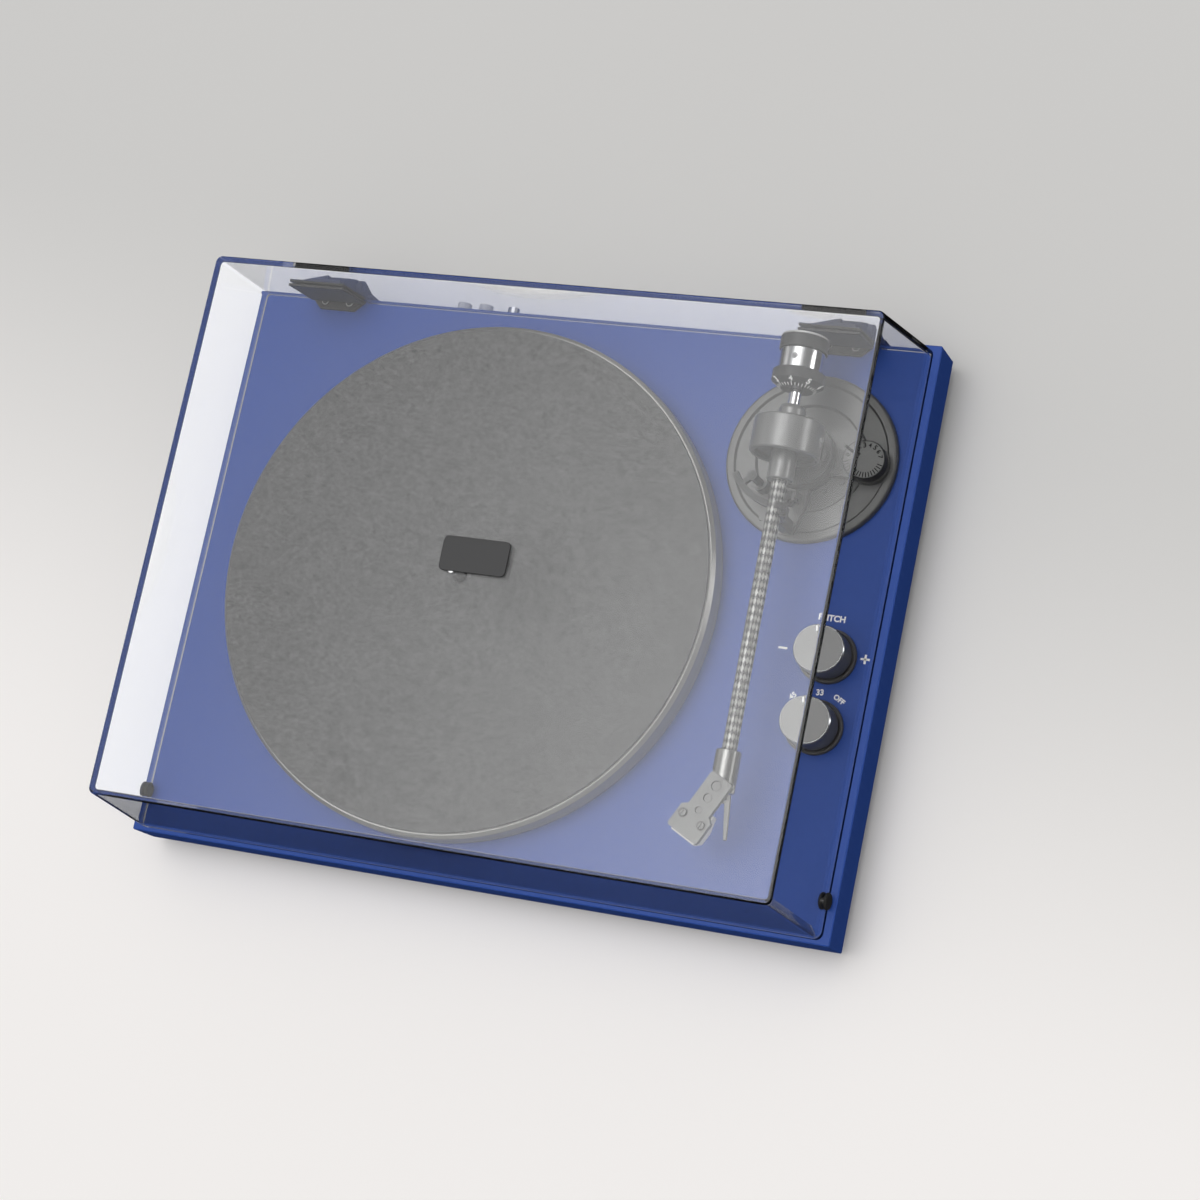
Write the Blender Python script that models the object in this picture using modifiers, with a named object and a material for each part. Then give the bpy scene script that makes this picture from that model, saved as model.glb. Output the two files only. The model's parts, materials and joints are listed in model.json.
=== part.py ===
"""A belt-drive turntable with a closed clear dust cover, as separate pieces in metres.

The deck frame has its origin at the middle of the plinth's top face: X to the right, Y to the back,
Z up. An empty lifts that frame onto the feet. Each moving piece is parented to an empty on its joint.
"""

from math import acos, atan2, cos, pi, radians, sin, sqrt, tan

import bmesh
import bpy
from mathutils import Matrix, Vector

# Fits
CLEARANCE = 0.0003
OVERRUN = 0.001
MERGE = 0.00001

# Facets round a full turn
FINE_STEPS = 48
ROUND_STEPS = 24
SMALL_STEPS = 12

# Plinth and what closes it underneath. The margins run from the platter, the tonearm base or the
# counterweight to its edges
MARGIN_LEFT = 0.0311
MARGIN_FRONT = 0.0195
WEIGHT_MARGIN = 0.0149
BASE_MARGIN = 0.0138
PLINTH_THICKNESS = 0.0255
PLINTH_EDGE = 0.0006
PLINTH_WALL = 0.018
PLINTH_SKIN = 0.008
BOTTOM_PLATE_THICKNESS = 0.0018
BOTTOM_PLATE_LEDGE = 0.007
FOOT_RADIUS = 0.019
FOOT_HEIGHT = 0.0095
FOOT_WAIST = 0.0165
FOOT_PAD_DEPTH = 0.003
FOOT_EDGE = 0.0012
FOOT_INSET = 0.034

# Platter, mat and drive
PLATTER_RADIUS = 0.150
PLATTER_TOP = 0.017
PLATTER_BOTTOM = 0.003
PLATTER_PLATE = 0.0045
PLATTER_RIM = 0.009
PLATTER_CHAMFER = 0.0020
MAT_INSET = 0.0028
MAT_THICKNESS = 0.0022
SPINDLE_RADIUS = 0.0036
SPINDLE_TOP = 0.0335
SPINDLE_TIP = 0.0022
SPINDLE_DEPTH = 0.0195
SUB_PLATTER_RADIUS = 0.065
SUB_PLATTER_BOTTOM = 0.0042
SUB_PLATTER_GROOVE = 0.0008
BEARING_RADIUS = 0.0082
BEARING_FLANGE = 0.018
BEARING_FLANGE_THICKNESS = 0.0018
BEARING_FLOOR = 0.002
MOTOR_DISTANCE = 0.092
MOTOR_ANGLE = radians(128)
MOTOR_RADIUS = 0.0175
MOTOR_HEIGHT = 0.0138
MOTOR_SHAFT_RADIUS = 0.001
MOTOR_SHAFT_DEPTH = 0.018
MOTOR_HOLE_RADIUS = 0.0105
PULLEY_RADIUS = 0.0068
PULLEY_FLANGE = 0.0009
BELT_THICKNESS = 0.0007
BELT_WIDTH = 0.0040

# Controls on the right
KNOB_INSET = 0.0317
PITCH_Y = -0.0132
SPEED_Y = -0.0528
KNOB_RADIUS = 0.0132
KNOB_TOP = 0.0198
KNOB_CHAMFER = 0.0007
KNOB_SKIRT = 0.0022
BEZEL_RADIUS = 0.0153
BEZEL_INNER = 0.0139
BEZEL_HEIGHT = 0.0030
BEZEL_FLOOR = 0.0012
BEZEL_EDGE = 0.0007
POINTER_LENGTH = 0.0045
POINTER_WIDTH = 0.0012
POINTER_DEPTH = 0.0004
CONTROL_SHAFT_RADIUS = 0.003
CONTROL_SHAFT_SEAT = 0.009
CONTROL_BODY_RADIUS = 0.0085
CONTROL_BODY_HEIGHT = 0.0078
CONTROL_NECK_RADIUS = 0.0045
BOARD_WIDTH = 0.026
BOARD_DEPTH = 0.080
BOARD_THICKNESS = 0.0016

# Tonearm base, placed from the platter. Everything that stands on it is measured from the arm's pivot
BASE_GAP = 0.00913
BASE_BEARING = radians(26.898)
ARM_HEIGHT = 0.0385
ARM_REST_TURN = radians(0.7)
BASE_RIGHT = 0.0022
BASE_BACK = 0.0005
BASE_RADIUS = 0.0482
BASE_RIM_HEIGHT = 0.0044
BASE_RIM_EDGE = 0.0016
BASE_RIM_WIDTH = 0.0048
BASE_STEP = 0.0012
BASE_BOWL_RADIUS = 0.0300
BASE_FLOOR = 0.0018
BASE_SPIGOT_RADIUS = 0.011
TOWER_RADIUS = 0.0154
TOWER_GAP = 0.0026
TOWER_STEP_RADIUS = 0.0189
TOWER_STEP_DROP = 0.0013
TOWER_EDGE = 0.0012
PLATFORM_HEIGHT = 0.0060
PLATFORM_SHARES = (
    (-0.647, -0.421),
    (-0.405, -0.643),
    (-0.394, -0.786),
    (-0.344, -0.799),
    (-0.193, -0.909),
    (-0.079, -0.932),
    (0.044, -0.927),
    (0.079, -0.753),
    (0.135, -0.546),
    (0.133, -0.245),
    (0.004, -0.100),
    (-0.411, -0.266),
)
BRIDGE_HEIGHT = 0.0070
BRIDGE_SHARES = (
    (0.203, 1.784),
    (0.823, 1.198),
    (0.963, -0.733),
    (0.794, -0.759),
    (0.287, -0.716),
)
DIAL_RIGHT = 0.0355
DIAL_BACK = 0.0004
DIAL_RADIUS = 0.0111
DIAL_TOP = 0.0140
DIAL_BOTTOM = 0.0076
DIAL_EDGE = 0.0006
DIAL_POST_RADIUS = 0.0030
DIAL_POST_DEPTH = 0.0025
DIAL_SEAT_RADIUS = 0.0116
SCREW_HEAD_RADIUS = 0.0021
SCREW_HEAD_HEIGHT = 0.0010
SCREW_SLOT = 0.0006
BASE_SCREW_SHARES = ((0.471, -0.214), (0.278, -0.330))

# Arm rest and its clip, the cue lift and its lever, right of and behind the pivot
REST_BACK = -0.0408
REST_LENGTH = 0.0072
REST_POST_LEFT = -0.0040
REST_POST_RIGHT = 0.0016
REST_HEAD_LEFT = -0.0046
REST_HEAD_RIGHT = 0.0071
REST_HEAD_THICKNESS = 0.0032
REST_WALL_RISE = 0.0040
CLIP_THICKNESS = 0.0020
CLIP_HUB_RADIUS = 0.0020
CLIP_PIN_RADIUS = 0.0009
CLIP_OPEN = radians(-100)
CLIP_START = radians(-4)
CLIP_END = radians(168)
CUE_RADIUS = 0.0349
CUE_START = radians(212)
CUE_END = radians(268)
CUE_WIDTH = 0.0036
CUE_GAP = 0.0052
CUE_THICKNESS = 0.0032
CUE_POST_ANGLE = radians(225)
CUE_POST_DISTANCE = 0.0272
CUE_POST_RADIUS = 0.0022
CUE_POST_BOTTOM = 0.0028
CUE_KNOB_RADIUS = 0.0029
CUE_WEB_HALF = 0.0013
CUE_SLEEVE_RADIUS = 0.0044
CUE_SLEEVE_TOP = 0.0150
LEVER_RIGHT = -0.0013
LEVER_BACK = -0.0243
LEVER_Z = 0.0120
LEVER_RADIUS = 0.0009
LEVER_HUB_RADIUS = 0.0029
LEVER_HUB_WIDTH = 0.0034
LEVER_PIN_RADIUS = 0.0012
LEVER_PIN_REACH = 0.0015
LEVER_EAR_WIDTH = 0.0020
LEVER_EAR_TOP = 0.0155
LEVER_BALL_RADIUS = 0.0016
LEVER_REACH = 0.0140
LEVER_PATH_SHARES = (
    (0, 0, 0),
    (0, -0.43, 0.14),
    (0.36, -0.50, 0.57),
    (0.61, -0.44, 1),
)

# Arm, measured along its axis from the pivot. The tube ends a set length short of the spindle's distance
DRUM_RADIUS = 0.0194
DRUM_BORE = 0.0170
DRUM_LENGTH = 0.0198
DRUM_EDGE = 0.0009
SWING_POST_RADIUS = 0.0047
SWING_POST_FLANGE = 0.0090
SWING_POST_FLANGE_THICKNESS = 0.0020
SWING_POST_BOTTOM = 0.0040
PIVOT_SCREW_RADIUS = 0.0027
PIVOT_SCREW_SLOT = 0.0007
PIVOT_SCREW_TIP = 0.0022
PIVOT_CUP_DEPTH = 0.0022
CARRIER_DISC_RADIUS = 0.0160
CARRIER_DISC_LENGTH = 0.0140
NECK_RADIUS = 0.0072
NECK_FRONT = 0.0233
NECK_EDGE = 0.0005
REAR_COLLAR_RADIUS = 0.0073
REAR_COLLAR_END = 0.0192
REAR_COLLAR_ROUND = 0.0026
TUBE_RADIUS = 0.0041
TUBE_WALL = 0.0009
TUBE_SEAT = 0.0120
TUBE_SHORT = 0.03403
HEAD_COLLAR_RADIUS = 0.00695
HEAD_COLLAR_LENGTH = 0.0225
HEAD_COLLAR_EDGE = 0.0005
HEAD_BOSS_RADIUS = 0.0034
HEAD_BOSS_LENGTH = 0.0190
HEAD_BOSS_FRONT = 0.0035

# Headshell plate, in its own frame: along the plate from the rear ring mark, and across it
HEAD_ORIGIN_X = -0.0018
HEAD_SET = 0.0028
HEAD_OFFSET = radians(27.5)
HEAD_TOP = 0.0040
HEAD_THICKNESS = 0.0032
HEAD_REAR = 0.0048
HEAD_NECK_HALF = 0.0071
HEAD_NECK_END = 0.0162
HEAD_SHOULDER = 0.0186
HEAD_HALF = 0.0102
HEAD_FRONT = 0.0319
HEAD_CORNER = 0.0010
HEAD_MARK_DEPTH = 0.0005
HEAD_MARK_PLACE_SHARES = (0.016, 0.260, 0.511)
HEAD_MARK_RADIUS_SHARES = (0.394, 0.338, 0.282)
CARTRIDGE_SCREW_ALONG = 0.0221
CARTRIDGE_SCREW_SPACING = 0.0127
CARTRIDGE_SCREW_RADIUS = 0.0021
CARTRIDGE_SCREW_HEIGHT = 0.0008
FINGER_REAR_RIGHT = 0.0038
FINGER_SET = 0.0010
FINGER_FRONT_RIGHT = 0.0067
FINGER_LENGTH = 0.0240
FINGER_REAR_HALF = 0.0016
FINGER_FRONT_HALF = 0.0009
FINGER_THICKNESS = 0.0016
FINGER_TAB = 0.0045
CARTRIDGE_HALF = 0.0080
CARTRIDGE_REAR = 0.0145
CARTRIDGE_FRONT = 0.0330
CARTRIDGE_HEIGHT = 0.0110
CARTRIDGE_NOSE = 0.0050
CARTRIDGE_TAPER = 0.0085
STYLUS_HALF = 0.0040
STYLUS_REAR = 0.0235
STYLUS_FRONT = 0.0300
STYLUS_HEIGHT = 0.0026
CANTILEVER_RADIUS = 0.0004
CANTILEVER_DROP = 0.0018
CANTILEVER_LENGTH = 0.0060

# Counterweight, along the arm behind the pivot
WEIGHT_SHAFT_RADIUS = 0.0033
WEIGHT_SHAFT_SEAT = 0.0090
WEIGHT_SHAFT_END = 0.0505
SCALE_FRONT = 0.0280
SCALE_CONE = 0.0037
SCALE_RADIUS = 0.0146
SCALE_LENGTH = 0.0063
SCALE_FACE_RADIUS = 0.0090
SCALE_EDGE = 0.0006
HUB_RADIUS = 0.0080
SLEEVE_RADIUS = 0.0056
SLEEVE_LENGTH = 0.0110
WEIGHT_RADIUS = 0.0124
WEIGHT_LENGTH = 0.0112
WEIGHT_HOLE_RADIUS = 0.0018
WEIGHT_HOLE_DEPTH = 0.0030
CAP_RADIUS = 0.0134
CAP_LENGTH = 0.0085
CAP_EDGE = 0.0007
CAP_BOSS_RADIUS = 0.0050
CAP_BOSS_LENGTH = 0.0012
WEIGHT_TRAVEL_FORWARD = 0.0060

# Dust cover: inset of its outer faces from the plinth's edges at the bottom and at the top
COVER_BOTTOM = 0.0008
COVER_TOP = 0.0760
COVER_WALL = 0.0030
COVER_SIDE_BOTTOM = 0.0042
COVER_SIDE_TOP = 0.0112
COVER_END_BOTTOM = 0.0023
COVER_END_TOP = 0.0080
COVER_CORNER = 0.0040
COVER_EDGE = 0.0012
COVER_PLATE_WIDTH = 0.040
COVER_PLATE_DEPTH = 0.0197
COVER_PLATE_THICKNESS = 0.0015
COVER_PLATE_CORNER = 0.0028
COVER_PLATE_Y = 0.0011
BUMPER_INSET = 0.0230
BUMPER_Z = 0.0053
BUMPER_RADIUS = 0.0047
BUMPER_NECK_RADIUS = 0.0022
BUMPER_DISC = 0.0016

# Hinges: across from the hinge's own middle, the rest in the deck frame's Y and Z
HINGE_INSET = 0.0557
HINGE_PIN_BACK = 0.0036
HINGE_PIN_Z = 0.0090
HINGE_PIN_RADIUS = 0.0014
HINGE_PLATE_THICKNESS = 0.0020
HINGE_FOOT_REACH = 0.0112
HINGE_FOOT_HALF = 0.0172
HINGE_FOOT_CHAMFER = 0.0060
HINGE_BACK_DROP = 0.0190
HINGE_SCREW_SPACING = 0.0160
HINGE_SCREW_INSET = 0.0067
HINGE_EAR_WIDTH = 0.0030
HINGE_EAR_RADIUS = 0.0043
HINGE_ARM_LEFT = 0.0050
HINGE_ARM_RIGHT = 0.0152
HINGE_KNUCKLE_RADIUS = 0.0038
CLIP_LEFT = -0.0160
CLIP_RIGHT = 0.0196
CLIP_LIP = 0.0015
CLIP_WEB_BOTTOM = 0.0052
CLIP_WEB_TOP = 0.0076
CLIP_FRONT_TOP = 0.0363
CLIP_BLOCK_DEPTH = 0.0088
CLIP_BLOCK_TOP = 0.0325
CLIP_WING_DEPTH = 0.0058
CLIP_WING_HEIGHT = 0.0090

# Rear sockets
SOCKET_X = -0.0600
SOCKET_PANEL_WIDTH = 0.0740
SOCKET_PANEL_HEIGHT = 0.0160
SOCKET_PANEL_THICKNESS = 0.0016
SOCKET_POCKET_DEPTH = 0.0030
SOCKET_Z = -0.0125
JACK_RADIUS = 0.0042
JACK_BORE = 0.0017
JACK_REACH = 0.0075
JACK_COLLAR_RADIUS = 0.0056
JACK_COLLAR_LENGTH = 0.0015
JACK_SPACING = 0.0140
JACK_OFFSET = -0.0230
GROUND_OFFSET = 0.0090
GROUND_RADIUS = 0.0034
GROUND_REACH = 0.0070
GROUND_NECK_RADIUS = 0.0015
GROUND_NECK_LENGTH = 0.0020
INLET_OFFSET = 0.0250
INLET_HALF = 0.0055
INLET_BORE = 0.0031
INLET_PIN = 0.0010
INLET_DEPTH = 0.0090
INLET_FACE = 0.0010

# Values that follow from the ones above
BASE_DISTANCE = PLATTER_RADIUS + BASE_GAP + BASE_RADIUS
BASE_ACROSS = BASE_DISTANCE * cos(BASE_BEARING)
BASE_ALONG = BASE_DISTANCE * sin(BASE_BEARING)
SCALE_BACK = SCALE_FRONT + SCALE_CONE + SCALE_LENGTH
WEIGHT_BACK = SCALE_BACK + CLEARANCE + WEIGHT_LENGTH
CAP_BACK = WEIGHT_BACK + CLEARANCE + CAP_LENGTH
PLINTH_WIDTH = MARGIN_LEFT + PLATTER_RADIUS + BASE_ACROSS + BASE_RADIUS + BASE_MARGIN
PLINTH_DEPTH = MARGIN_FRONT + PLATTER_RADIUS + BASE_ALONG - BASE_BACK + CAP_BACK + WEIGHT_MARGIN
PLATTER_X = MARGIN_LEFT + PLATTER_RADIUS - PLINTH_WIDTH / 2
PLATTER_Y = MARGIN_FRONT + PLATTER_RADIUS - PLINTH_DEPTH / 2
MAT_RADIUS = PLATTER_RADIUS - MAT_INSET
BASE_X = PLATTER_X + BASE_ACROSS
BASE_Y = PLATTER_Y + BASE_ALONG
ARM_X = BASE_X - BASE_RIGHT
ARM_Y = BASE_Y - BASE_BACK
KNOB_X = PLINTH_WIDTH / 2 - KNOB_INSET
HINGE_X = PLINTH_WIDTH / 2 - HINGE_INSET
BUMPER_Y = BUMPER_INSET - PLINTH_DEPTH / 2
PLINTH_BOTTOM = -PLINTH_THICKNESS
PLINTH_TOP_HEIGHT = FOOT_HEIGHT + CLEARANCE + PLINTH_THICKNESS
PLINTH_BACK = PLINTH_DEPTH / 2
HINGE_PIN_Y = PLINTH_BACK + HINGE_PIN_BACK
HINGE_BACK = HINGE_PIN_Y + HINGE_EAR_RADIUS
PLINTH_Y = -(HINGE_BACK - PLINTH_BACK) / 2
MAT_TOP = PLATTER_TOP + CLEARANCE + MAT_THICKNESS
SUB_PLATTER_TOP = PLATTER_TOP - PLATTER_PLATE - CLEARANCE
DRIVE_HEIGHT = (SUB_PLATTER_BOTTOM + SUB_PLATTER_TOP) / 2
TUBE_END = BASE_DISTANCE - TUBE_SHORT
HEAD_COLLAR_END = TUBE_END + HEAD_COLLAR_LENGTH
HEAD_ORIGIN_Y = HEAD_SET - HEAD_COLLAR_END
FINGER_REAR_REACH = HEAD_COLLAR_END + FINGER_SET
FINGER_FRONT_REACH = FINGER_REAR_REACH + FINGER_LENGTH
TOWER_TOP = ARM_HEIGHT - DRUM_RADIUS - TOWER_GAP
TOWER_STEP_HEIGHT = TOWER_TOP - TOWER_STEP_DROP
REST_Y = ARM_Y + REST_BACK
REST_TUBE = -REST_BACK * tan(ARM_REST_TURN)
REST_WALL_LEFT = REST_TUBE + TUBE_RADIUS + CLEARANCE * 2
CLIP_RIGHT_OF_ARM = REST_WALL_LEFT + CLIP_HUB_RADIUS
REST_WALL_TOP = ARM_HEIGHT + REST_WALL_RISE
CLIP_Z = REST_WALL_TOP
DIAL_X = ARM_X + DIAL_RIGHT
DIAL_Y = ARM_Y + DIAL_BACK
CUE_POST_X = ARM_X + CUE_POST_DISTANCE * cos(CUE_POST_ANGLE)
CUE_POST_Y = ARM_Y + CUE_POST_DISTANCE * sin(CUE_POST_ANGLE)
LEVER_X = ARM_X + LEVER_RIGHT
LEVER_Y = ARM_Y + LEVER_BACK
TUBE_BOTTOM = ARM_HEIGHT - TUBE_RADIUS
CUE_TOP = TUBE_BOTTOM - CUE_GAP
REST_HEAD_TOP = TUBE_BOTTOM - CLEARANCE
COVER_SLOPE_END = (COVER_END_TOP - COVER_END_BOTTOM) / (COVER_TOP - COVER_BOTTOM)
COVER_SLOPE_SIDE = (COVER_SIDE_TOP - COVER_SIDE_BOTTOM) / (COVER_TOP - COVER_BOTTOM)

# Colours: base colour, roughness, metallic
FINISHES = {
    "blue_lacquer": ((0.022, 0.080, 0.380), 0.35, 0.0),
    "dark_plastic": ((0.045, 0.045, 0.048), 0.50, 0.0),
    "satin_black": ((0.030, 0.030, 0.032), 0.35, 0.0),
    "cast_grey": ((0.085, 0.085, 0.088), 0.42, 0.6),
    "machined_aluminium": ((0.60, 0.60, 0.60), 0.28, 1.0),
    "brushed_grey": ((0.28, 0.28, 0.28), 0.35, 0.9),
    "polished_steel": ((0.80, 0.80, 0.81), 0.06, 1.0),
    "grey_felt": ((0.060, 0.060, 0.062), 0.95, 0.0),
    "carbon_weave": ((0.060, 0.060, 0.062), 0.30, 0.2),
    "headshell_grey": ((0.30, 0.30, 0.29), 0.40, 0.5),
    "clear_acrylic": ((0.95, 0.96, 0.98), 0.03, 0.0),
    "black_rubber": ((0.015, 0.015, 0.015), 0.80, 0.0),
    "white_plastic": ((0.75, 0.75, 0.74), 0.40, 0.0),
    "board_green": ((0.020, 0.150, 0.050), 0.45, 0.0),
    "brass": ((0.62, 0.45, 0.18), 0.25, 1.0),
}


def clear_scene():
    for old in list(bpy.data.objects):
        bpy.data.objects.remove(old, do_unlink=True)


def new_collection(name):
    made = bpy.data.collections.new(name)
    bpy.context.scene.collection.children.link(made)
    return made


def finish_material(name):
    found = bpy.data.materials.get(name)
    if found:
        return found
    colour, roughness, metallic = FINISHES[name]
    made = bpy.data.materials.new(name)
    made.use_nodes = True
    shader = made.node_tree.nodes["Principled BSDF"]
    shader.inputs["Base Color"].default_value = (*colour, 1.0)
    shader.inputs["Roughness"].default_value = roughness
    shader.inputs["Metallic"].default_value = metallic
    made.diffuse_color = (*colour, 1.0)
    return made


def frame(name, parent, place):
    """An empty that holds the pieces of one joint, or of the whole deck."""
    made = bpy.data.objects.new(name, None)
    made.parent = parent
    made.location = place
    PARTS.objects.link(made)
    return made


def keep(obj, finish, parent, collection):
    """Puts a new object in its collection, under its parent, with its material."""
    for holder in list(obj.users_collection):
        holder.objects.unlink(obj)
    collection.objects.link(obj)
    obj.parent = parent
    obj.data.materials.clear()
    if collection is CUTTERS:
        obj.hide_render = True
        obj.display_type = "WIRE"
    else:
        obj.data.materials.append(finish_material(finish))
    return obj


def as_piece(name, mesh, finish, parent, place=(0, 0, 0), turn=(0, 0, 0)):
    """A piece of the turntable, or a cutter where the finish is None."""
    obj = bpy.data.objects.new(name, mesh)
    collection = CUTTERS if finish is None else PARTS
    obj.location = place
    obj.rotation_euler = turn
    return keep(obj, finish, parent, collection)


def block(name, low, high, finish, parent, edge=0, turn=(0, 0, 0)):
    """A box between two corners, with an optional small bevel on its edges."""
    bm = bmesh.new()
    bmesh.ops.create_cube(bm, size=1)
    size = Vector(high) - Vector(low)
    bmesh.ops.scale(bm, vec=size, verts=bm.verts)
    mesh = bpy.data.meshes.new(name)
    bm.to_mesh(mesh)
    bm.free()
    middle = (Vector(high) + Vector(low)) / 2
    obj = as_piece(name, mesh, finish, parent, middle, turn)
    if edge:
        bevel = obj.modifiers.new("edges", "BEVEL")
        bevel.width = edge
        bevel.segments = 1
    return obj


def rod(name, radius, low, high, finish, parent, place=(0, 0, 0), turn=(0, 0, 0), steps=SMALL_STEPS):
    """A plain cylinder along its own Z from low to high."""
    bm = bmesh.new()
    bmesh.ops.create_cone(
        bm, cap_ends=True, segments=steps, radius1=radius, radius2=radius, depth=high - low
    )
    bmesh.ops.translate(bm, vec=(0, 0, (low + high) / 2), verts=bm.verts)
    mesh = bpy.data.meshes.new(name)
    bm.to_mesh(mesh)
    bm.free()
    return as_piece(name, mesh, finish, parent, place, turn)


def ball(name, radius, finish, parent, place):
    bm = bmesh.new()
    bmesh.ops.create_uvsphere(bm, u_segments=SMALL_STEPS, v_segments=SMALL_STEPS // 2, radius=radius)
    mesh = bpy.data.meshes.new(name)
    bm.to_mesh(mesh)
    bm.free()
    return as_piece(name, mesh, finish, parent, place)


def turned(name, profile, finish, parent, place=(0, 0, 0), turn=(0, 0, 0), steps=ROUND_STEPS):
    """A lathe piece: (radius, height) points down the outer side, turned by a Screw modifier.

    A profile that starts and ends on the axis is solid. Any other one is closed into a ring.
    """
    points = [(radius, 0, height) for radius, height in profile]
    edges = [(i, i + 1) for i in range(len(points) - 1)]
    if profile[0][0] > 0:
        edges.append((len(points) - 1, 0))
    mesh = bpy.data.meshes.new(name)
    mesh.from_pydata(points, edges, [])
    obj = as_piece(name, mesh, finish, parent, place, turn)
    screw = obj.modifiers.new("turn", "SCREW")
    screw.axis = "Z"
    screw.steps = steps
    screw.render_steps = steps
    screw.use_merge_vertices = True
    screw.merge_threshold = MERGE
    screw.use_smooth_shade = True
    return obj


def evaluated_copy(source, name, finish, parent):
    """The source as a plain mesh object with its caps welded; the source is removed."""
    bpy.context.view_layer.update()
    graph = bpy.context.evaluated_depsgraph_get()
    mesh = bpy.data.meshes.new_from_object(source.evaluated_get(graph))
    bm = bmesh.new()
    bm.from_mesh(mesh)
    bmesh.ops.remove_doubles(bm, verts=bm.verts, dist=MERGE)
    bmesh.ops.recalc_face_normals(bm, faces=bm.faces)
    bm.to_mesh(mesh)
    bm.free()
    made = as_piece(name, mesh, finish, parent)
    made.matrix_local = source.matrix_local.copy()
    bpy.data.objects.remove(source, do_unlink=True)
    return made


def extruded(name, outline, low, high, finish, parent, place=(0, 0, 0), turn=(0, 0, 0)):
    """A flat outline in XY, from low to high along Z: a filled 2D curve made a mesh."""
    curve = bpy.data.curves.new(name + "_outline", "CURVE")
    curve.dimensions = "2D"
    curve.fill_mode = "BOTH"
    curve.extrude = (high - low) / 2
    spline = curve.splines.new("POLY")
    spline.points.add(len(outline) - 1)
    for point, (x, y) in zip(spline.points, outline):
        point.co = (x, y, 0, 1)
    spline.use_cyclic_u = True
    source = bpy.data.objects.new(name + "_outline", curve)
    source.parent = parent
    source.rotation_euler = turn
    PARTS.objects.link(source)
    lift = Matrix.Rotation(turn[2], 3, "Z") @ Matrix.Rotation(turn[1], 3, "Y")
    lift = lift @ Matrix.Rotation(turn[0], 3, "X")
    source.location = Vector(place) + lift @ Vector((0, 0, (low + high) / 2))
    return evaluated_copy(source, name, finish, parent)


def wire(name, points, radius, finish, parent, sides=2):
    """A round wire along the points, made a mesh."""
    curve = bpy.data.curves.new(name + "_path", "CURVE")
    curve.dimensions = "3D"
    curve.bevel_depth = radius
    curve.bevel_resolution = sides
    curve.use_fill_caps = True
    spline = curve.splines.new("POLY")
    spline.points.add(len(points) - 1)
    for point, place in zip(spline.points, points):
        point.co = (*place, 1)
    source = bpy.data.objects.new(name + "_path", curve)
    source.parent = parent
    PARTS.objects.link(source)
    return evaluated_copy(source, name, finish, parent)


def combine(target, other, operation):
    step = target.modifiers.new(other.name, "BOOLEAN")
    step.operation = operation
    step.solver = "EXACT"
    step.object = other


def cut(target, *cutters):
    for cutter in cutters:
        combine(target, cutter, "DIFFERENCE")


def fuse(target, *pieces):
    for piece in pieces:
        combine(target, piece, "UNION")


def arc(centre, radius, start, end, steps):
    """Points along an arc, ends included."""
    return [
        (
            centre[0] + radius * cos(start + (end - start) * i / steps),
            centre[1] + radius * sin(start + (end - start) * i / steps),
        )
        for i in range(steps + 1)
    ]


def rounded_rectangle(width, depth, corner, steps=3):
    """A rectangle outline about the origin with round corners."""
    x = width / 2 - corner
    y = depth / 2 - corner
    points = []
    for index, (sign_x, sign_y) in enumerate(((1, 1), (-1, 1), (-1, -1), (1, -1))):
        start = index * pi / 2
        points += arc((sign_x * x, sign_y * y), corner, start, start + pi / 2, steps)
    return points


ALONG_BACK = (radians(-90), 0, 0)
ALONG_RIGHT = (0, radians(90), 0)


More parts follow.
